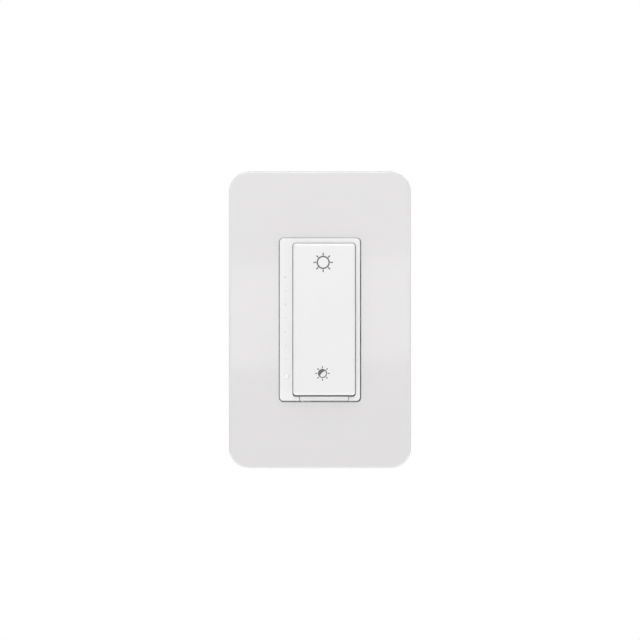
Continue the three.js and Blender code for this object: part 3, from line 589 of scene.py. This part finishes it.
STRIP_X = -14.3
LEVEL_DOTS = 7
TOP_DOT_Z = 17.5
DOT_PITCH = 5.58
DOT_RADIUS = 0.45
DOT_AIR = 0.03
DOT_DOME = [(0, -0.06), (0.2, -0.05), (0.36, -0.02), (DOT_RADIUS, 0.04)]  # radius and depth
DOT_DEEP = 2.2
PIPE_DEEP = 1.7  # how far the bar behind the dots lies behind the frame's face
STATUS = (-13.65, -23.0, 1.05)  # x, z and radius of the status light
STATUS_AIR = 0.05
PADDLE_SIZE = (25.3, 62.0, 1.1)
PADDLE_AT = (1.7, 0.3)
PADDLE_GAP = 0.25
PADDLE_GAP_ABOVE = 0.16
PADDLE_GAP_BELOW = 0.66
FRAME_SIZE = (32.86, 66.5, 1.5)
FRAME_SHIFT = (-0.07, 0.22)  # how far the frame sits off the middle of the opening
FRAME_EDGE = 0.3
FLOOR_FRONT = -2.9  # the frame's floor, behind the paddle
FLOOR_BACK = -1.6
FACE_OVERLAP = 0.4  # how far the face part of the frame runs into its floor
BELOW_FRAME = -36
TAB_AIR = 0.2
TAB_AIR_ABOVE = 0.1
NOTCH_INTO_FLOOR = 0.5
TAB_BAR_BACK = -3.6
STEM_FRONT = -4.6
STEM_XS = (-3.3, 6.7)
STEM_ZS = (-32.9, -31.4)


def dot_places():
    return [(STRIP_X, TOP_DOT_Z - i * DOT_PITCH) for i in range(LEVEL_DOTS)]


def make_front_frame():
    front = FRONT[0].y
    outline = rounded_loop(*FRAME_SIZE, *FRAME_SHIFT)
    width, height, corner = PADDLE_SIZE
    well_width = width + 2 * PADDLE_GAP
    well_height = height + PADDLE_GAP_ABOVE + PADDLE_GAP_BELOW
    well_z = PADDLE_AT[1] + (PADDLE_GAP_ABOVE - PADDLE_GAP_BELOW) / 2
    well = rounded_loop(well_width, well_height, corner + PADDLE_GAP, PADDLE_AT[0], well_z)
    face = flat_plate("face", [outline, well], front, FLOOR_FRONT + FACE_OVERLAP, FRAME_EDGE)
    through = (front - PAST, FLOOR_FRONT + PAST)
    drills = []
    for index, (x, z) in enumerate(dot_places()):
        drills.append(rod_y(f"drill_{index}", x, z, DOT_RADIUS + DOT_AIR, *through, steps=20))
    x, z, radius = STATUS
    drills.append(rod_y("status_drill", x, z, radius + STATUS_AIR, *through))
    low, high = TAB
    notch_xs = (low.x - TAB_AIR, high.x + TAB_AIR)
    notch_ys = (front - PAST, FLOOR_FRONT + NOTCH_INTO_FLOOR)
    notch_zs = (BELOW_FRAME, high.z + TAB_AIR_ABOVE)
    notch = block("notch", notch_xs, notch_ys, notch_zs, round_edge=0.05)
    cut_away(face, *drills, notch)
    floor = flat_plate("floor", [outline], FLOOR_FRONT, FLOOR_BACK, bevel=0.1)
    slot_xs = (STEM_XS[0] - TAB_AIR, STEM_XS[1] + TAB_AIR)
    slot_ys = (FLOOR_FRONT - PAST, FLOOR_BACK + PAST)
    slot_zs = (BELOW_FRAME, STEM_ZS[1] + TAB_AIR)
    cut_away(floor, block("slot", slot_xs, slot_ys, slot_zs, round_edge=0.05))
    made = joined("front_frame", face, floor)
    # The frame takes the lighter copy of satin white, painted light against the paddle's shade
    finish_piece(made, "device", "satin_white", "device_frame", material="satin_white_painted_lighter")


def make_light_pipe():
    front = FRONT[0].y
    low, high = PIPE
    bar_ys = (front + PIPE_DEEP, high.y)
    bar = block("bar", (low.x, high.x), bar_ys, (low.z, high.z), round_edge=0.15)
    posts = []
    for index, (x, z) in enumerate(dot_places()):
        profile = [(radius, front + depth) for radius, depth in DOT_DOME]
        profile += [(DOT_RADIUS, front + DOT_DEEP), (0, front + DOT_DEEP)]
        posts.append(turned(f"post_{index}", profile, x, z, steps=24))
    made = joined("light_pipe", bar, *posts)
    finish_piece(made, "device", "clear_plastic", "level_light_pipe")


def make_status_lens():
    x, z, radius = STATUS
    tip, back = LENS[0].y, LENS[1].y
    domed = FRONT[0].y - tip
    profile = []
    for angle in quarter_turn(8):
        profile.append((radius * math.sin(angle), tip + domed * (1 - math.cos(angle))))
    profile += [(radius, back), (0, back)]
    made = turned("status_window", profile, x, z)
    finish_piece(made, "device", "clear_plastic", "status_lens")


PADDLE_DROP = 0.4  # how far the paddle's face falls from its middle to its ends
PADDLE_FACE = crown(PADDLE[0].y, PADDLE_DROP, PADDLE_SIZE[1], PADDLE_AT[1])
PADDLE_WALL = 1.2
SMALLEST_CORNER = 0.12
HOLLOW_CORNER = 0.5
PADDLE_THICK = 1.6
CHAMFER_SIDE = 0.65
CHAMFER_END = 1.0
CHAMFER_DEEP = 0.75
CHAMFER_ROUND = 0.07
CROWN_SIDES = 24
PIN_RADIUS = 1.2
PIN_Y = -5.4
PIN_ROOT = 0.5


def make_paddle():
    width, height, corner = PADDLE_SIZE
    x0, z0 = PADDLE_AT
    skirt = PADDLE[1].y

    def outline(inset_x, inset_z, radius=None):
        radius = max(corner - inset_x, SMALLEST_CORNER) if radius is None else radius
        size = (width - 2 * inset_x, height - 2 * inset_z)
        return rounded_loop(*size, radius, x0, z0, sides=CROWN_SIDES)

    def along_chamfer(t):
        """A loop part of the way up the chamfer, from the side at 0 to the face at 1."""
        loop = outline(CHAMFER_SIDE * t, CHAMFER_END * t)
        return on_face(loop, PADDLE_FACE, CHAMFER_DEEP * (1 - t))

    edge = CHAMFER_ROUND / CHAMFER_DEEP
    whole = outline(0, 0)
    hollow = outline(PADDLE_WALL, PADDLE_WALL, HOLLOW_CORNER)
    loops = [on_face(hollow, PADDLE_FACE, PADDLE_THICK), level(hollow, skirt), level(whole, skirt)]
    loops.append(on_face(whole, PADDLE_FACE, CHAMFER_DEEP + CHAMFER_ROUND))
    loops += [along_chamfer(t) for t in (edge * 0.6, 0.5, 1 - edge, 1)]
    face = outline(CHAMFER_SIDE + CHAMFER_ROUND, CHAMFER_END + CHAMFER_ROUND)
    loops.append(on_face(face, PADDLE_FACE))
    body = shell("body", loops, crowned_sides=CROWN_SIDES)
    pins = []
    for side, tip in zip(BOTH, (PADDLE[0].x, PADDLE[1].x)):
        root = x0 + side * (width / 2 - PIN_ROOT)
        ends = [
            [(x, PIN_Y + a, z0 + b) for a, b in circle(0, 0, PIN_RADIUS, 24)]
            for x in sorted((root, tip))
        ]
        pins.append(shell(f"pin_{side}", ends))
    finish_piece(joined("rocker_paddle", body, *pins), "paddle", "satin_white", "paddle")


def make_tab():
    low, high = TAB
    xs, ys, zs = (low.x, high.x), (low.y, TAB_BAR_BACK), (low.z, high.z)
    bar = block("bar", xs, ys, zs, round_edge=0.25, segments=4)
    stem = block("stem", STEM_XS, (STEM_FRONT, high.y), STEM_ZS, round_edge=0.1, segments=2)
    made = joined("service_tab", bar, stem)
    # The tab takes the same lighter copy of satin white as the frame, with its painted light
    finish_piece(made, "service_tab", "satin_white", "airgap_tab", material="satin_white_painted_lighter")


# ---- Printed symbols ----------------------------------------------------------------------

INK_DEPTHS = (-0.03, 0.02)  # from just in front of the paddle's face to just inside it
INK_EDGE = 0.004
RAYS = 8
DARK_RADIUS = 1.5
DARK_HOLLOW = 0.3  # how far the dark half's straight side is hollowed

# Place, the disc's outer and inner radius, its steps, and each ray's ends and half width
Sun = namedtuple("Sun", "x z outer inner steps near far half")
BRIGHTER = Sun(1.3, 23.5, 2.68, 2.14, 48, 2.82, 3.98, 0.23)
DIMMER = Sun(1.0, -21.8, 1.84, 1.45, 40, 2.12, 2.92, 0.2)


def sun_outlines(sun):
    """A sun's disc, then its rays as slim rectangles, each a list of outlines."""
    x, z = sun.x, sun.z
    shapes = [[circle(x, z, sun.outer, sun.steps), circle(x, z, sun.inner, sun.steps)]]
    near, far, half = sun.near, sun.far, sun.half
    for i in range(RAYS):
        angle = 2 * math.pi * i / RAYS
        out = (math.cos(angle), math.sin(angle))
        side = (-out[1], out[0])
        corners = [(near, -half), (far, -half), (far, half), (near, half)]
        ray = [(x + r * out[0] + s * side[0], z + r * out[1] + s * side[1]) for r, s in corners]
        shapes.append([ray])
    return shapes


def dark_half(x, z, radius):
    """The upper left half of a disc, with its straight side hollowed a little."""
    points = arc(x, z, radius, start=45, stop=225, steps=24)
    first, last = points[0], points[-1]
    steps = 12
    for i in range(1, steps):
        lean = DARK_HOLLOW * math.sin(math.pi * i / steps) * math.sqrt(0.5)
        across, up = between(last, first, i / steps)
        points.append((across - lean, up + lean))
    return points


def print_on_paddle(name, shapes):
    """Ink that follows the crown of the paddle's face."""
    printed = []
    for index, outlines in enumerate(shapes):
        printed.append(flat_plate(f"{name}_{index}", outlines, *INK_DEPTHS, INK_EDGE))
    made = joined(name, *printed)
    for vertex in made.data.vertices:
        vertex.co.y += PADDLE_FACE(vertex.co.z / MM) * MM
    finish_piece(made, "paddle", "satin_white", material="ink")


def make_symbols():
    print_on_paddle("symbol_brighter", sun_outlines(BRIGHTER))
    dark = dark_half(DIMMER.x, DIMMER.z, DARK_RADIUS)
    print_on_paddle("symbol_dimmer", [*sun_outlines(DIMMER), [dark]])


# ---- Yoke ---------------------------------------------------------------------------------

BOX_SCREW_Z = 41.65
PLATE_SCREW_Z = 48.4
EAR_AT = (14.6, 47.6)
EAR_RADIUS = 4.7
EAR_HOLE = 1.5
EAR_PAD_INSET = 0.25
EAR_PAD_THICK = 0.4
SCORE_IN = 5.6  # how far inwards of an ear's middle it is scored, so that it can break off
SCORE_HALF = 0.25
SCORE_LONG = 4.2
SCORE_DEEP = 0.3
YOKE_BACK = -0.1
YOKE_EDGE = 0.14
LED_WINDOW = (3.1, 44.9, 0.4, -13.95, -1.95)  # width, height, corner, x and z
STEM_WINDOW = (10.8, 2.1, 0.4, 1.7, -32.15)
BOX_SCREW_SLOT = (6.6, 4, 1.9)
PLATE_SCREW_HOLE = 1.85
FLAP_XS = (-20.5, -11.5)  # the earth screw's flap
FLAP_ZS = (-38.9, -37.4)
FLAP_INSIDE = 0.1  # how far behind the yoke's front the flap starts
FLAP_BACK = 10
FLAP_HOLE_AT = (-16, 5.5, -38)
FLAP_HOLE = 1.9


def yoke_outline():
    """The strap with its four round ears, joined to the wide body behind the device."""
    half_width, half_body, corner = 22.25, 38, 1.5
    half_strap, half_height, strap_corner = 13.5, 52.5, 3
    ear_x, ear_z = EAR_AT
    into_ear = math.degrees(math.acos((half_strap - ear_x) / EAR_RADIUS))
    out_of_ear, onto_strap = 117, 50
    quarter = arc(half_width - corner, half_body - corner, corner, start=0, stop=90, steps=6)
    quarter.append((half_strap, half_body))
    quarter += arc(ear_x, ear_z, EAR_RADIUS, -into_ear, out_of_ear, steps=32)
    strap_middle = (half_strap - strap_corner, half_height - strap_corner)
    quarter += arc(*strap_middle, strap_corner, onto_strap, stop=90, steps=8)
    upper = quarter + [(-x, z) for x, z in reversed(quarter)]
    return upper + [(-x, -z) for x, z in upper]


def make_yoke():
    front = YOKE[0].y
    holes = [rounded_loop(*window, steps=4) for window in (LED_WINDOW, STEM_WINDOW)]
    pads, scores = [], []
    for end in BOTH:
        holes.append(rounded_loop(*BOX_SCREW_SLOT, 0, end * BOX_SCREW_Z))
        holes.append(circle(0, end * PLATE_SCREW_Z, PLATE_SCREW_HOLE))
        for side in BOTH:
            x, z = side * EAR_AT[0], end * EAR_AT[1]
            holes.append(circle(x, z, EAR_HOLE))
            pad = [circle(x, z, EAR_RADIUS - EAR_PAD_INSET, steps=48), circle(x, z, EAR_HOLE)]
            pad_front = YOKE_BACK - EAR_PAD_THICK
            pads.append(flat_plate(f"pad_{side}_{end}", pad, pad_front, back=0, bevel=0.05))
            xs = around(side * (EAR_AT[0] - SCORE_IN), SCORE_HALF)
            ys = (YOKE_BACK - SCORE_DEEP, PAST)
            zs = around(z, SCORE_LONG)
            scores.append(block(f"score_{side}_{end}", xs, ys, zs, round_edge=0.05))
    plate = flat_plate("plate", [yoke_outline()] + holes, front, YOKE_BACK, YOKE_EDGE)
    cut_away(plate, *scores)
    flap = block("flap", FLAP_XS, (front + FLAP_INSIDE, FLAP_BACK), FLAP_ZS, round_edge=0.3)
    cut_away(flap, rod_along("flap_hole", FLAP_HOLE_AT, (0, 0, 1), FLAP_HOLE, half=3))
    finish_piece(joined("yoke_plate", plate, flap, *pads), "device", "yoke_metal", "yoke")


# ---- Sub-plate ----------------------------------------------------------------------------

SUB_CORNER = 6.4
SUB_BACK = -1.6
SUB_EDGE = 0.2
SUB_OPENING = (36, 69.6, 2)
CLIP_WINDOW = (9, 12, 2)
CLIP_WINDOW_AT = (26, 36)
SUB_PLATE_SCREW_HOLE = 1.9
SUB_BOX_SCREW_HOLE = 3.9
SEAT_RADIUS = 4.4
SEAT_FLOOR = 0.8
RELIEF_HALVES = (5, 2.2)
RIM_WALL = 1.4
RIM_INSET = 0.02  # keeps the rim's sides off those of the flat part
RIM_START = 0.6
RIM_EDGE = 0.25


def make_subplate():
    low, high = SUB_PLATE
    width, height, front = high.x - low.x, high.z - low.z, low.y

    def outline(inset):
        return rounded_loop(width - 2 * inset, height - 2 * inset, SUB_CORNER - inset)

    outlines = [outline(0), rounded_loop(*SUB_OPENING)]
    seats = []
    for end in BOTH:
        plate_z, box_z = end * PLATE_SCREW_Z, end * BOX_SCREW_Z
        for side in BOTH:
            place = (side * CLIP_WINDOW_AT[0], end * CLIP_WINDOW_AT[1])
            outlines.append(rounded_loop(*CLIP_WINDOW, *place))
        outlines.append(circle(0, plate_z, SUB_PLATE_SCREW_HOLE))
        outlines.append(circle(0, box_z, SUB_BOX_SCREW_HOLE, steps=40))
        depths = (front - PAST, SUB_BACK - SEAT_FLOOR)
        seats.append(rod_y(f"seat_{end}", 0, plate_z, SEAT_RADIUS, *depths, steps=40))
        half_x, half_z = RELIEF_HALVES
        xs, ys, zs = around(0, half_x), (front - PAST, PAST), around(box_z, half_z)
        seats.append(block(f"relief_{end}", xs, ys, zs, round_edge=0.4))
    flat = flat_plate("flat", outlines, front, SUB_BACK, SUB_EDGE)
    cut_away(flat, *seats)
    ring = [outline(RIM_INSET), outline(RIM_WALL)]
    rim = flat_plate("edge", ring, front + RIM_START, high.y, RIM_EDGE)
    finish_piece(joined("mounting_plate", flat, rim), "device", "plain_white", "sub_plate")


# ---- Rear housing -------------------------------------------------------------------------

HOUSING_CORNER = 3.0
HOUSING_WALL = 1.9
HOUSING_BACK_ROUND = 1.3
HOUSING_LIP_ROUND = 0.3
HOUSING_SCREW_AT = (18.6, 31.6)
POST_RADIUS = 3.2
POST_HOLE = 1.7
SCREW_SEAT_RADIUS = 2.9
SCREW_SEAT_DEEP = 2.2
TERMINAL_Z = 12
CHAMBER = {"inner": 15, "outer_wall": 0.3, "ys": (8.5, 20.5), "half": 6.4}
POCKET = {"inner": 16.5, "ys": (10, 19), "half": 4.9}
NUT_AT = (15.5, 14.5)
NUT_RADIUS = 2
NUT_HALF = 1.5
LABEL_RECESS = (25, 44, 1.5)
LABEL_DEEP = 0.3
GAUGE_RECESS = (12, 1.8, 0.85, 0, -27)
GAUGE_DEEP = 0.5
HOUSING_SOFT = 0.16


def terminal_chamber(side, end, half_width):
    """What a terminal adds to the housing, and what is cut away for it."""
    z = end * TERMINAL_Z
    label = f"{side}_{end}"
    chamber_xs = (side * CHAMBER["inner"], side * (half_width - CHAMBER["outer_wall"]))
    chamber_zs = around(z, CHAMBER["half"])
    chamber = block(f"wall_{label}", chamber_xs, CHAMBER["ys"], chamber_zs, round_edge=0.3)
    xs = (side * POCKET["inner"], side * (half_width + PAST))
    zs = around(z, POCKET["half"])
    pocket = block(f"pocket_{label}", xs, POCKET["ys"], zs, round_edge=0.6, segments=4)
    nut_at = (side * NUT_AT[0], NUT_AT[1], z)
    nut = rod_along(f"nut_{label}", nut_at, (1, 0, 0), NUT_RADIUS, NUT_HALF, steps=24)
    return chamber, [pocket, nut]


def make_housing():
    low, high = HOUSING
    width, height = high.x - low.x, high.z - low.z
    front, back = low.y, high.y

    def ring(inset, y):
        size = (width - 2 * inset, height - 2 * inset)
        return level(rounded_loop(*size, HOUSING_CORNER - inset), y)

    loops = [ring(HOUSING_WALL, back - HOUSING_WALL), ring(HOUSING_WALL, front)]
    loops += [ring(HOUSING_LIP_ROUND, front), ring(0, front + HOUSING_LIP_ROUND)]
    for angle in quarter_turn(8):
        inset = HOUSING_BACK_ROUND * (1 - math.cos(angle))
        loops.append(ring(inset, back - HOUSING_BACK_ROUND * (1 - math.sin(angle))))
    body = shell("box", loops)
    added, cuts = [], []
    for side in BOTH:
        for end in BOTH:
            label = f"{side}_{end}"
            x, z = side * HOUSING_SCREW_AT[0], end * HOUSING_SCREW_AT[1]
            added.append(rod_y(f"post_{label}", x, z, POST_RADIUS, front, back - PAST))
            hole_ys = (front - PAST, back + PAST)
            hole = rod_y(f"post_hole_{label}", x, z, POST_HOLE, *hole_ys, steps=24)
            seat_ys = (back - SCREW_SEAT_DEEP, back + PAST)
            seat = rod_y(f"screw_seat_{label}", x, z, SCREW_SEAT_RADIUS, *seat_ys, steps=40)
            chamber, chamber_cuts = terminal_chamber(side, end, width / 2)
            added.append(chamber)
            cuts += [hole, seat, *chamber_cuts]
    for label, recess, deep in (
        ("label", LABEL_RECESS, LABEL_DEEP),
        ("gauge", GAUGE_RECESS, GAUGE_DEEP),
    ):
        outlines = [rounded_loop(*recess)]
        cuts.append(flat_plate(label, outlines, back - deep, back + PAST, bevel=0))
    united(body, *added)
    cut_away(body, *cuts)
    soften(body, HOUSING_SOFT)
    finish_piece(body, "device", "black_plastic", "rear_housing")


# ---- Screws -------------------------------------------------------------------------------

# A pitch of 0 means a plain shank, and a length of 0 is taken from the CAD node. The slot is
# half the width of the driver slot.
Screw = namedtuple("Screw", "head_radius head_thick shank length pitch slot")
PLATE_SCREW = Screw(3.5, 1.4, 1.65, 7, 0.8, 0.45)
BOX_SCREW = Screw(3.3, 1.9, 1.65, 27, 0.8, 0.45)
HOUSING_SCREW = Screw(2.6, 1.6, 1.4, 0, 0, 0.45)
TERMINAL_SCREW = Screw(3.6, 2.0, 1.75, 3.9, 0, 0.5)
EARTH_SCREW = Screw(3.8, 2.4, 1.7, 0, 0, 0.5)

# A head's outline as shares of its radius and thickness, from its top to its underside
DOMED_HEAD = [(0, 1), (0.55, 0.985), (0.78, 0.88), (0.92, 0.66), (1, 0.34), (1, 0.08), (0.96, 0)]
PLAIN_STEPS = 40
THREAD_STEPS = 32
THREAD_PER_TURN = 12
THREAD_DEEP = 0.28
THREAD_START = 0.6  # below the head, and as much is left plain at the tip
TIP_TAPER = 0.5
TIP_NARROWER = 0.35
THREADED_TIP_NARROWER = 0.4
TERMINAL_SEAT_IN = 2  # how far a terminal screw's seat lies inside its head's outer end
WASHER_SIZE = (9, 8, 0.6)
WASHER_HOLE = 1.75

TO_ROOM = (0, -1, 0)
TO_WALL = (0, 1, 0)


def slot_cutter(spot, size):
    """The tool that cuts a driver slot halfway into a head."""
    across, half = size.head_radius + 1, size.slot
    corners = [(-across, -half), (across, -half), (across, half), (-across, half)]
    heights = (size.head_thick / 2, size.head_thick + PAST)
    return shell("slot", [[spot(a, b, c) for a, b in corners] for c in heights])


def thread_loops(spot, size):
    """Loops down a shank whose radius follows a helical thread, which fades out at both ends."""
    loops = []
    count = int((size.length - 2 * THREAD_START) / size.pitch * THREAD_PER_TURN)
    for k in range(count + 1):
        down = THREAD_START + k * size.pitch / THREAD_PER_TURN
        fade = min(1, k / THREAD_PER_TURN, (count - k) / THREAD_PER_TURN)
        loop = []
        for i in range(THREAD_STEPS):
            phase = (down / size.pitch + i / THREAD_STEPS) % 1
            reach = size.shank - THREAD_DEEP * fade * (1 - abs(2 * phase - 1))
            angle = 2 * math.pi * i / THREAD_STEPS
            loop.append(spot(reach * math.cos(angle), reach * math.sin(angle), -down))
        loops.append(loop)
    return loops


def make_screw(name, node, size, seat, out, turn):
    """A slotted screw. Its seat is the middle of its head's underside, and its head faces out."""
    spot = own_axes(seat, out, turn)
    shank, length = size.shank, size.length
    head = [(r * size.head_radius, h * size.head_thick) for r, h in DOMED_HEAD] + [(shank, 0)]
    if size.pitch:
        tip = [(shank - THREADED_TIP_NARROWER, -length), (0, -length)]
        loops = rings(spot, head, THREAD_STEPS) + thread_loops(spot, size)
        loops += rings(spot, tip, THREAD_STEPS)
    else:
        tip = [(shank, TIP_TAPER - length), (shank - TIP_NARROWER, -length), (0, -length)]
        loops = rings(spot, head + tip, PLAIN_STEPS)
    screw = cut_away(shell(name, loops), slot_cutter(spot, size))
    finish_piece(screw, "device", SLOTS[node], node)


def make_washer(label, z):
    """The fibre square that holds a box screw in the yoke."""
    low, high = box_mm(f"screw_retainer_{label}")
    square = rounded_loop(*WASHER_SIZE, 0, z, steps=4, sides=2)
    outlines = [square, circle(0, z, WASHER_HOLE, steps=24)]
    washer = flat_plate(f"fibre_washer_{label}", outlines, low.y, high.y, bevel=0.08)
    finish_piece(washer, "device", "fibre", f"screw_retainer_{label}")


def make_screws():
    for label, end, turn in (("top", 1, 8), ("bottom", -1, -14)):
        for kind, name, size, z in (
            ("plate_screw", "plate_fixing", PLATE_SCREW, PLATE_SCREW_Z),
            ("box_screw", "box_fixing", BOX_SCREW, BOX_SCREW_Z),
        ):
            node = f"{kind}_{label}"
            seat = (0, box_mm(node)[0].y + size.head_thick, end * z)
            make_screw(f"{name}_{label}", node, size, seat, TO_ROOM, turn)
        make_washer(label, end * BOX_SCREW_Z)
    turns = {"top_left": 25, "top_right": -35, "bottom_left": 62, "bottom_right": 5}
    for place, turn in turns.items():
        node = f"housing_screw_{place}"
        low, high = box_mm(node)
        seat = middle_of(node)
        seat.y = high.y - HOUSING_SCREW.head_thick
        size = HOUSING_SCREW._replace(length=seat.y - low.y)
        make_screw(f"long_screw_{place}", node, size, seat, TO_WALL, turn)


def make_terminals():
    turns = {"line": 12, "load": -28, "neutral": 40, "traveler": -8}
    for name, turn in turns.items():
        node = f"{name}_terminal_screw"
        low, high = box_mm(node)
        seat = middle_of(node)
        side = 1 if seat.x > 0 else -1
        seat.x = (high.x if side > 0 else low.x) - side * TERMINAL_SEAT_IN
        make_screw(f"{name}_screw", node, TERMINAL_SCREW, seat, (side, 0, 0), turn)
        node = f"{name}_terminal_plate"
        plate = block(f"{name}_clamp", *zip(*box_mm(node)), round_edge=0.2)
        finish_piece(plate, "device", SLOTS[node], node)


def make_earth_screw():
    """A green hexagon screw that faces down, through the yoke's flap."""
    low, high = box_mm("earth_screw")
    middle = (low + high) / 2
    size = EARTH_SCREW
    radius, thick = size.head_radius, size.head_thick
    spot = own_axes((middle.x, middle.y, low.z + thick), (0, 0, -1))
    profile = [(0.9, thick), (0.985, thick * 0.85), (1, thick * 0.7), (1, 0.1), (0.98, 0)]
    head = shell("head", rings(spot, [(radius * r, h) for r, h in profile], steps=6))
    cut_away(head, slot_cutter(spot, size))
    soften(head, 0.1)
    buried = 1
    shank_at = (middle.x, middle.y, middle.z + buried)
    shank_half = (high.z - low.z) / 2 - buried
    shank = rod_along("shank", shank_at, (0, 0, 1), size.shank, shank_half)
    finish_piece(joined("earth_bolt", head, shank), "device", "green_metal", "earth_screw")


# ---- Return springs -----------------------------------------------------------------------

SPRING_RADIUS = 1.95
SPRING_WIRE = 0.18
SPRING_TURNS = 3.5
SPRING_STEPS = 24  # in each turn


def make_springs():
    """The two return springs, each a coil round its plunger."""
    for label in ("top", "bottom"):
        node = f"return_spring_{label}"
        low, high = box_mm(node)
        centre = middle_of(f"return_plunger_{label}")
        first, last = low.y + SPRING_WIRE, high.y - SPRING_WIRE
        count = int(SPRING_TURNS * SPRING_STEPS)
        points = []
        for i in range(count + 1):
            angle = 2 * math.pi * SPRING_TURNS * i / count
            x = centre.x + SPRING_RADIUS * math.cos(angle)
            z = centre.z + SPRING_RADIUS * math.sin(angle)
            points.append((x, first + (last - first) * i / count, z))
        name = f"coil_{label}"
        curve = bpy.data.curves.new(name, "CURVE")
        curve.dimensions = "3D"
        curve.bevel_depth = SPRING_WIRE * MM
        curve.use_fill_caps = True
        coil = new_object(name, curve_mesh(name, curve, [points], closed=False))
        smooth_by_angle(coil)
        finish_piece(coil, "device", "steel", node)
        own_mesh(coil)


# ---- CAD nodes that are shown as they are -------------------------------------------------


def dress_cad_nodes():
    """Gives every CAD node the material of its record slot."""
    for name, node in frame["nodes"].items():
        node.data.materials.clear()
        node.data.materials.append(MATERIALS[SLOTS[name]])


# ---- Stage --------------------------------------------------------------------------------

FLOOR_HALF = 4.5  # metres, as are the stage's other lengths
FLOOR_DROP = 1.2  # far enough below the plate for a camera to look up at it
FLOOR_GLOW = 0.88
HORIZON = (-0.06, 0.02)  # the rise, as a share of a direction, over which the light changes
LIGHT_BELOW = 0.24
LIGHT_ABOVE = 0.5

# Place, what it is aimed at, width, height, power and roll in degrees
LAMPS = {
    "overhead": ((-0.15, -0.4, 0.95), (0, 0, 0), 0.9, 0.6, 5.65, 0),
    "left": ((-0.95, -0.45, 0.35), (0, 0, 0), 0.5, 0.7, 1.2, 0),
    "right": ((0.95, -0.35, 0.1), (0, 0, 0), 0.4, 0.7, 1.4, 0),
    "back": ((0.5, 0.9, 0.8), (0, 0, 0), 0.7, 0.7, 5.0, 0),
    # The card whose reflection lies across the middle of the glossy plate
    "card": ((0, -0.95, 0.008), (0, 0, 0.008), 0.6, 0.122, 0.24, 4),
}


def make_floor():
    """A pale studio floor that glows a little, so that it stays white under soft light."""
    z = CAD_BOX[0].z - FLOOR_DROP
    corners = [(-1, -1), (1, -1), (1, 1), (-1, 1)]
    mesh = bpy.data.meshes.new("floor")
    mesh.from_pydata([(x * FLOOR_HALF, y * FLOOR_HALF, z) for x, y in corners], [], [(0, 1, 2, 3)])
    floor = new_object("floor", mesh)
    material, tree, shader = new_material("pale_floor", roughness=0.9)
    patches = noise(tree, scale=4, detail=2)
    two_tone(tree, shader, (0.82, 0.82, 0.82), drift=0.976, source=patches)
    shader.inputs["Emission Color"].default_value = (1, 1, 1, 1)
    shader.inputs["Emission Strength"].default_value = FLOOR_GLOW
    mesh.materials.append(material)


def make_lamp(name, place, aim, width, height, power, roll):
    data = bpy.data.lights.new(name, "AREA")
    data.shape = "RECTANGLE"
    data.size, data.size_y = width, height
    data.energy = power
    lamp = new_object(name, data)
    lamp.location = place
    turn = (Vector(aim) - Vector(place)).to_track_quat("-Z", "Y")
    lamp.rotation_euler = (turn @ Quaternion((0, 0, 1), math.radians(roll))).to_euler()


def make_world():
    """Soft light from the upper half of the room, dim below the horizon, with a white backdrop."""
    world = bpy.data.worlds.new("studio")
    bpy.context.scene.world = world
    world.use_nodes = True
    tree = world.node_tree
    soft = tree.nodes["Background"]
    soft.inputs["Color"].default_value = (1, 1, 1, 1)
    place = tree.nodes.new("ShaderNodeTexCoord")
    parts = tree.nodes.new("ShaderNodeSeparateXYZ")
    tree.links.new(place.outputs["Generated"], parts.inputs["Vector"])
    rise = map_range(tree, parts.outputs["Z"], HORIZON, (LIGHT_BELOW, LIGHT_ABOVE))
    tree.links.new(rise, soft.inputs["Strength"])
    backdrop = tree.nodes.new("ShaderNodeBackground")
    backdrop.inputs["Color"].default_value = (1, 1, 1, 1)
    mix = tree.nodes.new("ShaderNodeMixShader")
    path = tree.nodes.new("ShaderNodeLightPath")
    tree.links.new(path.outputs["Is Camera Ray"], mix.inputs["Fac"])
    tree.links.new(soft.outputs["Background"], mix.inputs[1])
    tree.links.new(backdrop.outputs["Background"], mix.inputs[2])
    tree.links.new(mix.outputs["Shader"], tree.nodes["World Output"].inputs["Surface"])


def make_camera():
    """Straight on, from far enough away to show the plate as flat as a long lens does."""
    data = bpy.data.cameras.new("camera")
    data.sensor_width, data.lens = 36, 120
    data.clip_start = 0.01
    share = 298.2 / 640  # the plate's height as a share of the picture
    height = COVER[1].z - COVER[0].z
    away = height * MM / share * data.lens / data.sensor_width
    camera = new_object("camera", data)
    camera.location = (0, COVER[0].y * MM - away, 0)
    camera.rotation_euler = (math.pi / 2, 0, 0)
    bpy.context.scene.camera = camera


make_camera()
dress_cad_nodes()
make_cover()
make_front_frame()
make_light_pipe()
make_status_lens()
make_paddle()
make_tab()
make_symbols()
make_subplate()
make_yoke()
make_housing()
make_screws()
make_terminals()
make_earth_screw()
make_springs()
make_floor()
make_world()
for lamp_name, lamp_row in LAMPS.items():
    make_lamp(lamp_name, *lamp_row)
bpy.context.scene.view_settings.view_transform = "Standard"
